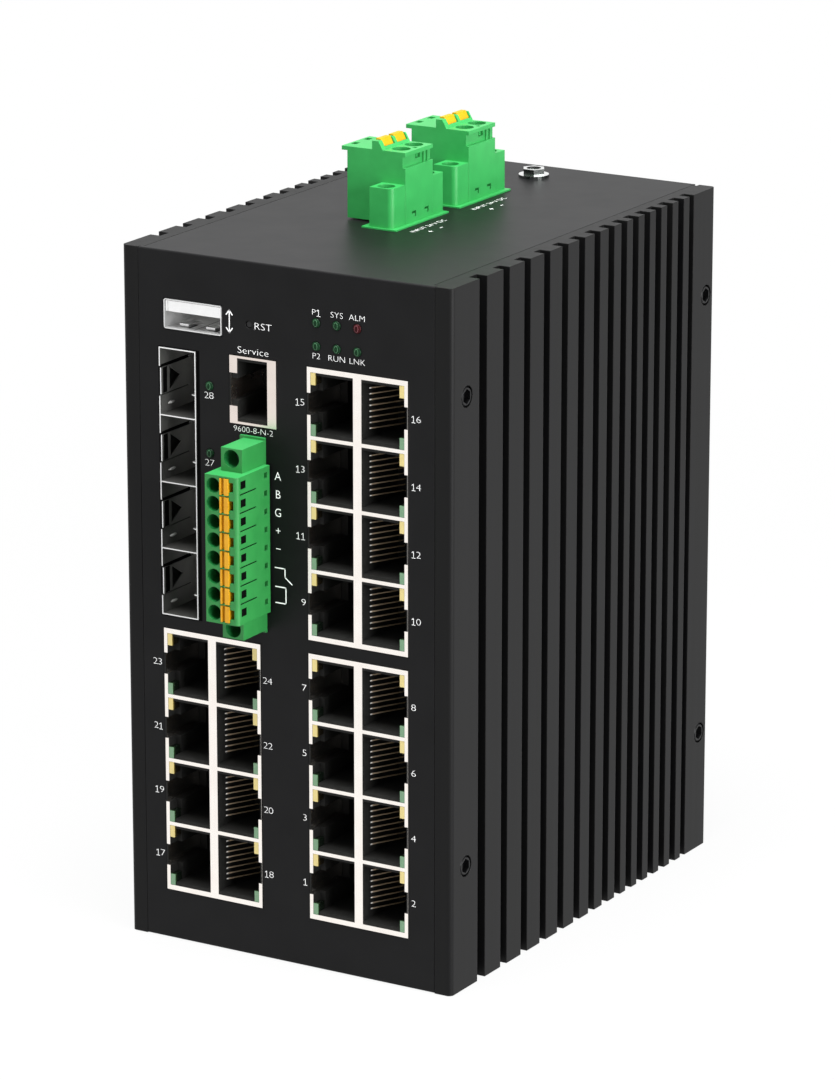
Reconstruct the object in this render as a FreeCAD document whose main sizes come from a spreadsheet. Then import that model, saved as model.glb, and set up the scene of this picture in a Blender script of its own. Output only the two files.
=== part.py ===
# Industrial ethernet switch for a mounting rail: a folded sheet case between two finned heat
# sinks, with modular jacks, module bays, plug-in terminal blocks and a rail clip at the back.
# Millimetres, X to the right, Y to the back, Z up, origin at the middle of the case's underside.
# Every piece is drawn from the case's lower front left corner and moved to the origin at the end.
import FreeCAD, Part
import math
import os
import re
import Sketcher
from FreeCAD import Placement, Rotation, Vector

doc = FreeCAD.newDocument("industrial_switch")

# Size name, value in millimetres (or a count), and what it measures
SIZES = [
    ("case_width", "78", "case across the outsides of the heat sinks"),
    ("case_depth", "111", "case from front face to rear face"),
    ("case_height", "148", "case from underside to top"),
    ("sheet_gauge", "1.2", "thickness of the folded sheet"),
    ("seam", "0.12", "gap where two case pieces meet"),
    ("edge_radius", "0.4", "rounding of the folded edges"),
    ("window_play", "0.15", "gap between a connector and its panel window"),
    ("fit", "0.05", "gap round a piece that is a close fit"),
    ("slip", "0.1", "gap round a piece that slides"),
    ("tab_height", "11", "height of a folded screw tab"),
    ("tab_length", "9", "reach of a folded screw tab"),
    ("flange_length", "15", "depth of the rear panel's top and bottom flanges"),
    ("flange_inset", "12", "from the case's side to those flanges"),

    ("sink_thickness", "4.8", "heat sink over base and fins"),
    ("sink_lip", "3.9", "heat sink where it meets the front and rear panels"),
    ("sink_corner", "1.1", "rounding of the heat sink's outer corners"),
    ("slot_depth", "2.5", "depth of a slot between fins"),
    ("front_land", "10.6", "plain width before the first slot"),
    ("front_slot", "3.1", "first slot"),
    ("slot_width", "2.6", "slots between fins"),
    ("rear_slot", "2.1", "last slot"),
    ("fin_widest", "6.4", "first fin"),
    ("fin_taper", "0.5", "how much narrower each next fin is"),
    ("fin_narrowest", "2.4", "narrowest fin"),
    ("fin_count", "14", "number of fins"),

    ("screw_front", "5.8", "side screws behind the front face"),
    ("screw_rear", "3.8", "side screws before the rear face"),
    ("screw_low", "26.5", "lower side screws above the underside"),
    ("screw_high", "125", "upper side screws above the underside"),
    ("side_head", "4.5", "side screw head"),
    ("side_sink", "1.6", "depth of the side screw head"),
    ("key_flats", "1.6", "hex socket across flats"),
    ("key_depth", "0.8", "depth of the hex socket"),

    ("jack_proud", "0.15", "jacks in front of the panel"),
    ("left_block_x", "9.15", "left jack block from the case's left side"),
    ("right_block_inset", "10.1", "right jack blocks from the case's right side"),
    ("lower_block_z", "10.8", "lower jack blocks above the underside"),
    ("upper_block_z", "70.9", "upper jack block above the underside"),
    ("block_width", "23.55", "jack block across its two columns"),
    ("block_height", "57.2", "jack block along its rows"),
    ("block_depth", "25", "jack block front to back"),
    ("port_rows", "4", "ports in a column"),
    ("port_pitch", "13.97", "port to port"),
    ("port_width", "10", "port window, latch side to contact side"),
    ("port_height", "13.2", "port window along the column"),
    ("frame_side", "0.8", "shield frame outside a window"),
    ("shield_gauge", "0.3", "thickness of a shield's sheet"),
    ("cavity_width", "8.8", "room for the plug, latch side to contact side"),
    ("cavity_height", "11.9", "room for the plug along the column"),
    ("cavity_depth", "14", "depth of the plug's room"),
    ("latch_height", "4.6", "latch channel"),
    ("latch_depth", "12", "depth of the latch channel"),
    ("lens_width", "1.05", "light in a port's corner"),
    ("lens_depth", "2.5", "room for the light"),
    ("lens_setback", "0.3", "light behind the panel's face"),
    ("yellow_height", "2.6", "upper light"),
    ("green_height", "2.4", "lower light"),
    ("contact_count", "8", "contacts in a port"),
    ("contact_pitch", "1.19", "contact to contact"),
    ("contact_gauge", "0.25", "contact wire"),
    ("contact_slice", "0.45", "contact wire measured front to back"),
    ("contact_start", "3", "contact behind the panel's face"),
    ("contact_run", "7.2", "contact front to back"),
    ("contact_rise", "3.9", "how far the contact leans into the plug's room"),

    ("console_x", "25.9", "console jack from the case's left side"),
    ("console_z", "114.05", "console jack above the underside"),
    ("console_width", "11.1", "console jack latch side to contact side"),
    ("console_height", "14.15", "console jack across"),
    ("console_depth", "16", "console jack front to back"),
    ("console_side", "1.85", "console shield's bar on the latch side"),
    ("console_port", "7.15", "console window, latch side to contact side"),
    ("console_notch", "6.9", "notch in the console shield's bar"),

    ("cage_x", "8.8", "module cage from the case's left side"),
    ("cage_z", "70.9", "module cage above the underside"),
    ("cage_width", "8.9", "module cage outside, board side to far side"),
    ("cage_depth", "47", "module cage front to back"),
    ("cage_gauge", "0.25", "sheet of the cage"),
    ("bay_pitch", "14.15", "bay to bay"),
    ("bays", "4", "module bays"),
    ("cage_play", "0.2", "gap round the cage in its panel window"),
    ("cage_gap", "0.5", "that gap on the side of the module lights"),
    ("tongue_height", "5.6", "catch tongue across"),
    ("tongue_slit", "0.35", "slit on each side of a catch tongue"),
    ("tongue_length", "10.8", "catch tongue front to back"),
    ("tongue_inset", "0.28", "catch tongue bent in from the cage wall"),
    ("catch_start", "3", "catch hole behind the cage's edge"),
    ("catch_base", "4.8", "catch hole across"),
    ("catch_length", "3.85", "catch hole front to back"),
    ("module_socket_depth", "7", "connector at the back of a bay, front to back"),
    ("module_socket_width", "6", "that connector off the board"),
    ("module_socket_height", "10", "that connector across"),

    ("socket_x", "10.15", "service socket from the case's left side"),
    ("socket_z", "131.8", "service socket above the underside"),
    ("socket_width", "13.9", "service socket outside width"),
    ("socket_height", "6.2", "service socket outside height"),
    ("socket_depth", "14.5", "service socket front to back"),
    ("socket_gauge", "0.22", "sheet of its shell"),
    ("socket_corner", "0.45", "rounding of its shell"),
    ("blade_height", "2.3", "white tongue in the service socket"),
    ("blade_setback", "0.45", "that tongue behind the shell's edge"),
    ("blade_base", "2.5", "block that carries the tongue"),

    ("reset_x", "30.55", "reset hole from the case's left side"),
    ("reset_z", "135", "reset hole above the underside"),
    ("reset_hole", "1.6", "reset hole"),
    ("reset_pin", "1.3", "reset pin"),
    ("reset_tip", "1.25", "round tip of the reset pin"),
    ("reset_tip_setback", "0.2", "that tip behind the panel's face"),
    ("reset_pin_length", "4.4", "reset pin front to back"),
    ("reset_setback", "0.5", "square part of the reset pin behind the panel"),
    ("reset_travel", "0.3", "how far the reset pin goes in"),
    ("reset_block", "6", "reset switch across"),
    ("reset_block_front", "3", "reset switch behind the panel's face"),
    ("reset_block_depth", "4.5", "reset switch front to back"),

    ("light_x", "46.5", "first status light from the case's left side"),
    ("light_pitch", "4.8", "status light to status light"),
    ("light_z", "132.5", "lower status lights above the underside"),
    ("light_columns", "3", "status lights in a row"),
    ("light_diameter", "1.9", "status light"),
    ("light_proud", "0.1", "status light in front of the panel"),
    ("bay_light_x", "20.93", "module lights from the case's left side"),
    ("bay_light_rise", "7.65", "module light above the lower wall of its bay"),
    ("holder_front", "3", "light holders behind the panel's face"),
    ("holder_depth", "6", "light holders front to back"),
    ("holder_rim", "1.6", "light holder outside its lights"),

    ("signal_x", "27.85", "signal plug from the case's left side"),
    ("signal_z", "91.05", "middle of the signal plug above the underside"),
    ("signal_width", "7.75", "signal plug left to right"),
    ("signal_pitch", "3.81", "pole to pole"),
    ("signal_poles", "8", "poles"),
    ("signal_rim", "0.26", "plug beyond the first and last poles"),
    ("signal_reach", "12.7", "signal plug in front of the panel"),
    ("signal_corner", "0.8", "rounding of the plug's front right edge"),
    ("signal_wire_x", "2", "wire hole from the plug's left side"),
    ("signal_wire", "3.2", "wire hole"),
    ("signal_wire_depth", "8.2", "depth of the wire hole"),
    ("signal_button_x", "3.6", "release button from the plug's left side"),
    ("signal_button_width", "2.05", "release button left to right"),
    ("signal_button_height", "3.4", "release button along the poles"),
    ("signal_button_length", "5.2", "release button front to back"),
    ("signal_recess", "1.1", "recess beside a button"),
    ("signal_recess_height", "2.1", "that recess along the poles"),
    ("signal_recess_depth", "3", "depth of that recess"),
    ("button_proud", "0.25", "release button beyond its plug"),
    ("button_groove", "0.7", "tool groove in a release button"),
    ("button_groove_x", "0.36", "that groove from the button's left side"),
    ("button_travel", "1.2", "how far a release button goes in"),
    ("signal_ear_reach", "9", "plug ears in front of the panel"),
    ("signal_ear_x", "1.55", "plug ears from the plug's left side"),
    ("signal_ear_width", "5", "plug ears left to right"),
    ("signal_ear_height", "4.9", "upper plug ear along the poles"),
    ("signal_foot_ear", "4.1", "lower plug ear along the poles"),
    ("signal_screw_rise", "2.75", "upper screw well above the poles"),
    ("signal_screw_drop", "1.95", "lower screw well below the poles"),
    ("signal_header_over", "0.5", "header flange beyond the plug's ears"),
    ("signal_clamp_x", "0.85", "wire clamp from the plug's left side"),
    ("signal_clamp_width", "4.4", "wire clamp left to right"),
    ("signal_clamp_height", "2.4", "wire clamp along the poles"),
    ("signal_clamp_depth", "3.6", "wire clamp front to back"),
    ("clamp_gauge", "0.5", "strip of a wire clamp"),
    ("clamp_floor", "0.7", "plug left behind a wire clamp"),
    ("signal_nose", "6.4", "plug inside its header"),
    ("signal_nose_x", "1.6", "that nose from the plug's left side"),
    ("signal_nose_width", "4", "that nose left to right"),
    ("header_flange", "0.6", "header flange on the panel"),
    ("header_depth", "8.6", "header behind the panel's face"),
    ("signal_header_x", "0.65", "header flange from the plug's left side"),
    ("signal_header_width", "5.9", "header flange left to right"),
    ("header_rim", "0.35", "header flange beyond its panel window"),
    ("pin_gauge", "1", "header pin"),
    ("pin_tail", "2", "header pin behind its header"),
    ("window_y", "1.35", "side windows behind the plug's front"),
    ("window_width", "1.4", "side windows front to back"),
    ("window_height", "1.55", "side windows along the poles"),
    ("window_rise", "0.4", "side windows and grooves above the middle of their pole"),
    ("window_depth", "1", "depth of the side windows"),
    ("window_skin", "0.3", "plug wall at the side windows"),
    ("window_room", "4.2", "room behind a side window front to back"),
    ("rib_groove", "0.25", "grooves between poles"),
    ("rib_groove_start", "1.1", "those grooves behind the plug's front"),
    ("rib_groove_length", "5.9", "those grooves front to back"),
    ("vent_y", "2.1", "small side slots in front of the panel"),
    ("vent_width", "1.15", "small side slots front to back"),
    ("vent_height", "1.2", "small side slots along the poles"),

    ("flange_screw_hole", "3.7", "screw well in a plug's ear"),
    ("flange_screw_seat", "3", "plug ear under the screw head"),

    ("power_x", "27.1", "power plugs from the case's left side"),
    ("power_y", "43.7", "first power plug behind the front face"),
    ("power_spacing", "25.9", "power plug to power plug"),
    ("power_width", "14", "power plug left to right"),
    ("power_length", "11.05", "power plug front to back"),
    ("power_height", "15.05", "power plug above its header flange"),
    ("power_pitch", "5.08", "pole to pole"),
    ("power_poles", "2", "poles"),
    ("power_first_pole", "3.5", "first pole behind the plug's front"),
    ("power_wire_x", "10.95", "wire hole from the plug's left side"),
    ("power_wire", "3.9", "wire hole"),
    ("power_wire_depth", "8", "depth of the wire hole"),
    ("ledge_reach", "1.35", "ledge beyond the plug's left side"),
    ("ledge_gauge", "0.85", "thickness of the ledge"),
    ("ledge_hole", "1.8", "hole in the ledge front to back"),
    ("ledge_hole_reach", "1.3", "that hole left to right"),
    ("ledge_rim", "0.55", "ledge left outside the hole"),
    ("waist_depth", "0.65", "waist under the plug's right edge"),
    ("waist_height", "2.4", "height of that waist"),
    ("waist_rib", "0.5", "ribs in the waist front to back"),
    ("waist_rib_y", "7.8", "first of those ribs behind the plug's front"),
    ("waist_rib_pitch", "1.5", "rib to rib"),
    ("waist_rib_reach", "0.4", "those ribs off the waist"),
    ("latch_slot", "1.9", "latch slot in the waist front to back"),
    ("latch_slot_height", "1.2", "height of that slot"),
    ("latch_slot_depth", "0.6", "depth of that slot"),
    ("probe_hole", "0.9", "test hole between the wire holes"),
    ("probe_inset", "0.85", "test hole from the plug's right side"),
    ("probe_depth", "3", "depth of the test hole"),
    ("ridge_x", "6", "ridge from the plug's left side"),
    ("ridge_top", "1.5", "ridge's flat top left to right"),
    ("ridge_foot", "2.55", "ridge's foot left to right"),
    ("ridge_height", "1.8", "ridge above the plug's top"),
    ("power_button_width", "3.9", "release button front to back"),
    ("power_button_sink", "0.45", "release button behind the ridge's slope"),
    ("power_button_length", "5", "release button below the plug's top"),
    ("power_ear_x", "8.4", "plug ears from the plug's left side"),
    ("power_ear_width", "5.5", "plug ears left to right"),
    ("power_ear_length", "5.1", "front plug ear front to back"),
    ("power_rear_ear", "4.3", "rear plug ear front to back"),
    ("power_ear_height", "8.35", "plug ears above the header flange"),
    ("power_ear_corner", "1.2", "rounding of the front ear's corner"),
    ("power_ear_hole", "2.3", "screw wells from the ends of the ears"),
    ("power_clamp_width", "6.6", "wire clamp left to right"),
    ("power_clamp_depth", "3.4", "wire clamp front to back"),
    ("power_clamp_height", "5", "wire clamp height"),
    ("power_nose", "7", "plug inside its header"),
    ("power_nose_x", "8", "that nose from the plug's left side"),
    ("power_nose_width", "5.6", "that nose left to right"),
    ("power_header_x", "6.8", "header flange from the plug's left side"),
    ("power_header_width", "8.3", "header flange left to right"),
    ("power_header_lead", "0.5", "header flange before the front ear and behind the rear ear"),
    ("power_flange", "0.35", "header flange on the top"),
    ("foot_window_z", "1", "foot windows above the header flange"),
    ("foot_window_width", "1.65", "foot windows front to back"),
    ("foot_window_height", "1.3", "height of the foot windows"),
    ("foot_window_bar", "0.5", "width of a foot window's two legs"),

    ("ground_x", "39.5", "ground screw from the case's left side"),
    ("ground_rear", "10.8", "ground screw before the rear face"),
    ("ground_flange", "6.6", "ground screw flange"),
    ("ground_flange_gauge", "0.6", "thickness of that flange"),
    ("ground_flats", "4.4", "ground screw across flats"),
    ("ground_crown", "1.3", "height of its hex"),
    ("ground_dish", "3.2", "hollow in its hex"),
    ("ground_dish_depth", "0.7", "depth of that hollow"),

    ("board_gauge", "1.6", "circuit boards"),
    ("board_front", "3", "boards behind the front face"),
    ("board_rear", "14", "boards before the rear face"),
    ("board_low", "6", "boards above the underside"),
    ("board_high", "12", "boards below the top"),
    ("board_inset", "4", "board screws from the boards' edges and behind the jacks"),
    ("board_head", "5", "board screw heads across flats"),
    ("board_head_height", "1.8", "height of those heads"),
    ("post_flats", "5.4", "board posts across flats"),
    ("chip_width", "24", "switch chip"),
    ("chip_gauge", "1.2", "thickness of the chips"),
    ("port_chip_width", "14", "port chips"),
    ("chip_y", "64", "middle of the chips behind the front face"),
    ("chip_z", "74", "middle of the switch chip above the underside"),
    ("port_chip_gap", "46", "port chip to port chip"),
    ("link_rear", "23", "link board before the rear face"),
    ("link_z", "22", "link board above the underside"),
    ("link_height", "40", "link board's height"),
    ("converter_y", "46", "power converter behind the front face"),
    ("converter_z", "92", "power converter above the underside"),
    ("converter_length", "30", "power converter front to back"),
    ("converter_width", "25", "power converter upwards"),
    ("converter_height", "10", "power converter off its board"),
    ("relay_length", "20", "alarm relay front to back"),
    ("relay_width", "10", "alarm relay off its board"),
    ("relay_height", "15", "alarm relay's height"),

    ("rail_z", "80", "middle of the mounting rail above the underside"),
    ("rail_height", "35", "mounting rail's height"),
    ("rail_play", "0.3", "gap below the mounting rail"),
    ("rail_lip", "1.6", "room for the rail's lip"),
    ("clip_width", "36", "rail clip left to right"),
    ("clip_plate", "2.5", "rail clip's plate"),
    ("clip_jaw", "2.4", "rail clip's jaws"),
    ("clip_tip", "2", "tips of the jaws front to back"),
    ("lower_tip", "1.9", "lower jaw's tip along the rail's lip"),
    ("upper_tip", "3", "upper jaw's tip along the rail's lip"),
    ("spring_room", "3", "room for the spring above the rail"),
    ("spring_gauge", "0.5", "strip of the spring"),
    ("spring_length", "30", "spring left to right"),
    ("spring_flat", "6", "middle of the spring that bears on the rail"),
    ("spring_bow", "2.4", "how far the spring bows down"),
    ("clip_head", "5.5", "clip screw heads across flats"),
    ("clip_head_height", "2.2", "height of those heads"),
    ("clip_screw_x", "10", "lower clip screws from the middle"),
    ("clip_screw_z", "8", "clip screws above and below the rail's middle"),
]

aliases = {alias for alias, number, note in SIZES}
word = re.compile(r"[a-z_]+")
touch = 1e-4
small_sides = 12
wire_sides = 16
wide_sides = 24
turns = {
    "x": Rotation(Vector(0, 1, 0), 90),
    "-x": Rotation(Vector(0, 1, 0), -90),
    "y": Rotation(Vector(1, 0, 0), -90),
    "-y": Rotation(Vector(1, 0, 0), 90),
    "z": Rotation(),
    "-z": Rotation(Vector(1, 0, 0), 180),
}
nodes = []


def make_sheet():
    sheet = doc.addObject("Spreadsheet::Sheet", "Sizes")
    for row, (alias, number, note) in enumerate(SIZES, start=1):
        sheet.set("A%d" % row, note)
        sheet.set("B%d" % row, number)
        sheet.setAlias("B%d" % row, alias)
    doc.recompute()
    return sheet


sizes = make_sheet()


def bind(formula):
    """Turn a formula of size names into one that reads the sheet."""
    return word.sub(lambda m: "Sizes." + m.group() if m.group() in aliases else m.group(), formula)


def value(formula):
    return float(sizes.evalExpression(bind(formula)))


def count(formula):
    return int(round(value(formula)))


# Placing and grouping

def place(piece, x, y, z):
    for axis, formula in zip("xyz", (x, y, z)):
        piece.setExpression("Placement.Base." + axis, bind(formula))


def node(piece):
    """Move a finished piece to the part's origin and keep it for writing."""
    place(piece, "-case_width / 2", "-case_depth / 2", "0")
    nodes.append(piece)
    return piece


def group(label, pieces):
    bundle = doc.addObject("Part::Compound", label)
    bundle.Links = pieces
    return bundle


def cut(label, solid, tools):
    result = doc.addObject("Part::Cut", label)
    result.Base = solid
    result.Tool = tools[0] if len(tools) == 1 else group(label + "_tools", tools)
    return result


def fuse(label, solids):
    result = doc.addObject("Part::MultiFuse", label)
    result.Shapes = solids
    return result


# Plain solids

def block(label, x, y, z, length, width, height):
    solid = doc.addObject("Part::Box", label)
    for side, formula in zip(("Length", "Width", "Height"), (length, width, height)):
        solid.setExpression(side, bind(formula))
    place(solid, x, y, z)
    return solid


def prism(label, sides, x, y, z, radius, length, axis):
    solid = doc.addObject("Part::Prism", label)
    solid.Polygon = sides
    solid.setExpression("Circumradius", bind(radius))
    solid.setExpression("Height", bind(length))
    solid.Placement = Placement(Vector(), turns[axis])
    place(solid, x, y, z)
    return solid


def hexagon(label, x, y, z, flats, length, axis):
    return prism(label, 6, x, y, z, "(%s) / sqrt(3)" % flats, length, axis)


def peg(label, x, y, z, diameter, length, axis):
    """A small round piece with twelve sides, which keeps the part light."""
    return prism(label, small_sides, x, y, z, "(%s) / 2" % diameter, length, axis)


# Sketched bodies

def body(label):
    piece = doc.addObject("PartDesign::Body", label)
    piece.AllowCompound = True
    return piece


def origin(piece, role):
    return next(feature for feature in piece.Origin.OriginFeatures if feature.Role == role)


def sketch(piece, role, level):
    drawing = piece.newObject("Sketcher::SketchObject", piece.Label + "_sketch")
    drawing.AttachmentSupport = (origin(piece, role), [""])
    drawing.MapMode = "FlatFace"
    side = "-" if role == "XZ_Plane" else ""
    drawing.setExpression("AttachmentOffset.Base.z", bind("%s(%s)" % (side, level)))
    return drawing


def tie(drawing, kind, edge, end, formula):
    spot = drawing.addConstraint(Sketcher.Constraint(kind, -1, 1, edge, end, value(formula)))
    drawing.setExpression("Constraints[%d]" % spot, bind(formula))


def outline(drawing, corners):
    first = drawing.GeometryCount
    points = [Vector(value(u), value(v), 0) for u, v in corners]
    for index, point in enumerate(points):
        drawing.addGeometry(Part.LineSegment(point, points[(index + 1) % len(points)]))
    for index, (u, v) in enumerate(corners):
        after = first + (index + 1) % len(points)
        drawing.addConstraint(Sketcher.Constraint("Coincident", first + index, 2, after, 1))
        tie(drawing, "DistanceX", first + index, 1, u)
        tie(drawing, "DistanceY", first + index, 1, v)


def rectangle(drawing, u, v, width, height):
    right = "%s + %s" % (u, width)
    top = "%s + %s" % (v, height)
    outline(drawing, [(u, v), (right, v), (right, top), (u, top)])


def small_round(drawing, u, v, diameter, sides=small_sides):
    """A small round hole drawn with straight sides, the fellow of a peg."""
    corners = []
    for spoke in range(sides):
        angle = 2 * math.pi * spoke / sides
        corners.append(("%s + (%s) * %.6f" % (u, diameter, math.cos(angle) / 2),
                        "%s + (%s) * %.6f" % (v, diameter, math.sin(angle) / 2)))
    outline(drawing, corners)


def faces_front(drawing):
    return drawing.AttachmentSupport[0][0].Role == "XZ_Plane"


def pad(piece, drawing, length, forward=True):
    """Grow a drawing along its plane's axis, or against it."""
    feature = piece.newObject("PartDesign::Pad", piece.Label + "_pad")
    feature.Profile = drawing
    feature.Reversed = faces_front(drawing) == forward
    feature.setExpression("Length", bind(length))
    return feature


def pocket(piece, drawing, depth, forward=True):
    """Cut a drawing along its plane's axis, or against it."""
    feature = piece.newObject("PartDesign::Pocket", piece.Label + "_pocket")
    feature.Profile = drawing
    feature.Reversed = (not faces_front(drawing)) == forward
    feature.setExpression("Length", bind(depth))
    return feature


def repeat(piece, features, axis, pitch, number):
    row = piece.newObject("PartDesign::LinearPattern", piece.Label + "_row")
    row.Originals = features
    row.Direction = (origin(piece, axis), [""])
    row.setExpression("Length", bind("(%s) * (%s - 1)" % (pitch, number)))
    row.setExpression("Occurrences", bind(number))
    piece.Tip = row
    return row


def edges_at(piece, x=None, y=None, z=None):
    """Names of the edges that lie wholly at the given places, whichever are given."""
    doc.recompute()
    wanted = [(axis, value(formula)) for axis, formula in zip("XYZ", (x, y, z)) if formula is not None]
    names = []
    for number, edge in enumerate(piece.Tip.Shape.Edges, start=1):
        box = edge.BoundBox
        gaps = [getattr(box, axis + end) - place for axis, place in wanted for end in ("Min", "Max")]
        if max(map(abs, gaps)) < touch:
            names.append("Edge%d" % number)
    return names


def round_edges(piece, names, radius):
    feature = piece.newObject("PartDesign::Fillet", piece.Label + "_rounding")
    feature.Base = (feature.BaseFeature, names)
    feature.setExpression("Radius", bind(radius))
    return feature


# Screws

side_rows = [("front", "screw_front"), ("rear", "case_depth - screw_rear")]
side_levels = [("low", "screw_low"), ("high", "screw_high")]


def side_screws():
    screws = []
    for row, y in side_rows:
        for level, z in side_levels:
            for side, x, axis in (("left", "0", "x"), ("right", "case_width", "-x")):
                label = "side_screw_%s_%s_%s" % (side, row, level)
                head = peg(label + "_head", x, y, z, "side_head", "side_sink", axis)
                key = hexagon(label + "_key", x, y, z, "key_flats", "key_depth", axis)
                screws.append(cut(label, head, [key]))
    node(group("side_screws", screws))


# Case

inner_left = "sink_thickness + seam"
inner_right = "case_width - sink_thickness - seam"
panel_left = "sink_lip + seam"
panel_width = "case_width - 2 * (sink_lip + seam)"


def screw_tabs(piece, level, forward):
    """Tabs folded along the heat sinks, behind the side screws."""
    drawing = sketch(piece, "XZ_Plane", level)
    for name, z in side_levels:
        low = "%s - tab_height / 2" % z
        rectangle(drawing, inner_left, low, "sheet_gauge", "tab_height")
        rectangle(drawing, inner_right + " - sheet_gauge", low, "sheet_gauge", "tab_height")
    pad(piece, drawing, "tab_length", forward)


def panel_windows(drawing):
    for x, z in jack_places.values():
        rectangle(drawing, x + " - window_play", z + " - window_play",
                  "block_width + 2 * window_play", "block_height + 2 * window_play")
    rectangle(drawing, "console_x - window_play", "console_z - window_play",
              "console_width + 2 * window_play", "console_height + 2 * window_play")
    rectangle(drawing, "cage_x - cage_play", "cage_z - cage_play",
              "cage_width + cage_play + cage_gap", cage_height + " + 2 * cage_play")
    rectangle(drawing, "socket_x - window_play", "socket_z - window_play",
              "socket_width + 2 * window_play", "socket_height + 2 * window_play")
    rectangle(drawing, "signal_x + signal_header_x + header_rim", signal_header_low + " + header_rim",
              "signal_header_width - 2 * header_rim", signal_header_height + " - 2 * header_rim")
    small_round(drawing, "reset_x", "reset_z", "reset_hole")
    for name, x, z in status_lights() + bay_lights():
        small_round(drawing, x, z, "light_diameter + 2 * fit")


def front_wrap():
    wrap = body("front_wrap")
    fold = sketch(wrap, "YZ_Plane", panel_left)
    top_inside = "case_height - sheet_gauge"
    outline(fold, [("0", "0"), ("case_depth", "0"), ("case_depth", "sheet_gauge"),
                   ("sheet_gauge", "sheet_gauge"), ("sheet_gauge", top_inside),
                   ("case_depth", top_inside), ("case_depth", "case_height"), ("0", "case_height")])
    pad(wrap, fold, panel_width)
    strips = sketch(wrap, "XY_Plane", "0")
    strip = "sink_thickness - sink_lip"
    rectangle(strips, panel_left, "sheet_gauge", strip, "case_depth")
    rectangle(strips, inner_right, "sheet_gauge", strip, "case_depth")
    pocket(wrap, strips, "case_height")
    folds = edges_at(wrap, y="0", z="0") + edges_at(wrap, y="0", z="case_height")
    round_edges(wrap, folds, "edge_radius")
    screw_tabs(wrap, "sheet_gauge", forward=True)
    windows = sketch(wrap, "XZ_Plane", "0")
    panel_windows(windows)
    pocket(wrap, windows, "sheet_gauge")
    roof = sketch(wrap, "XY_Plane", "case_height")
    for y in power_places.values():
        rectangle(roof, "power_x + power_header_x + header_rim", power_header_front(y) + " + header_rim",
                  "power_header_width - 2 * header_rim", power_header_length + " - 2 * header_rim")
    pocket(wrap, roof, "sheet_gauge", forward=False)
    node(wrap)


def rear_panel():
    panel = body("rear_panel")
    inside = "case_depth - sheet_gauge"
    face = sketch(panel, "XZ_Plane", inside)
    rectangle(face, panel_left, "sheet_gauge + seam", panel_width, "case_height - 2 * (sheet_gauge + seam)")
    pad(panel, face, "sheet_gauge")
    flanges = sketch(panel, "XZ_Plane", inside)
    for z in ("sheet_gauge + seam", "case_height - 2 * sheet_gauge - seam"):
        rectangle(flanges, "flange_inset", z, "case_width - 2 * flange_inset", "sheet_gauge")
    pad(panel, flanges, "flange_length", forward=False)
    screw_tabs(panel, inside, forward=False)
    node(panel)


def fin_slots():
    """Where each slot of a heat sink starts and how wide it is."""
    slots = [("front_land", "front_slot")]
    start = "front_land + front_slot"
    fins = count("fin_count")
    for fin in range(fins):
        start += " + max(fin_narrowest; fin_widest - %d * fin_taper)" % fin
        width = "rear_slot" if fin == fins - 1 else "slot_width"
        slots.append((start, width))
        start += " + " + width
    return slots


def heat_sink(label):
    """The left heat sink: an extrusion along Z whose slots open outwards."""
    sink = body(label)
    rear = "case_depth - sheet_gauge"
    section = sketch(sink, "XY_Plane", "0")
    outline(section, [("0", "0"), ("sink_lip", "0"), ("sink_lip", "sheet_gauge"),
                      ("sink_thickness", "sheet_gauge"), ("sink_thickness", rear),
                      ("sink_lip", rear), ("sink_lip", "case_depth"), ("0", "case_depth")])
    pad(sink, section, "case_height")
    corners = edges_at(sink, x="0", y="0") + edges_at(sink, x="0", y="case_depth")
    round_edges(sink, corners, "sink_corner")
    slots = sketch(sink, "XY_Plane", "0")
    for start, width in fin_slots():
        rectangle(slots, "0", start, "slot_depth", width)
    pocket(sink, slots, "case_height")
    wells = sketch(sink, "YZ_Plane", "0")
    for row, y in side_rows:
        for level, z in side_levels:
            small_round(wells, y, z, "side_head + 2 * fit")
    pocket(sink, wells, "side_sink")
    return sink


def heat_sinks():
    left = node(heat_sink("left_heat_sink"))
    right = doc.addObject("Part::Mirroring", "right_heat_sink")
    right.Source = left
    right.Normal = Vector(1, 0, 0)
    nodes.append(right)


# Jacks

right_block = "case_width - right_block_inset - block_width"
jack_places = {
    "upper_right": (right_block, "upper_block_z"),
    "lower_right": (right_block, "lower_block_z"),
    "lower_left": ("left_block_x", "lower_block_z"),
}
frame_end = "(block_height - (port_rows - 1) * port_pitch - port_height) / 2"


def column(x, side):
    """A column's window from its latch side to its contact side, and the way between them."""
    if side == "left":
        return x + " + frame_side", 1, x
    return x + " + block_width - frame_side", -1, x + " + block_width"


def step(start, way, distance):
    return "%s %s (%s)" % (start, "+" if way > 0 else "-", distance)


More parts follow.
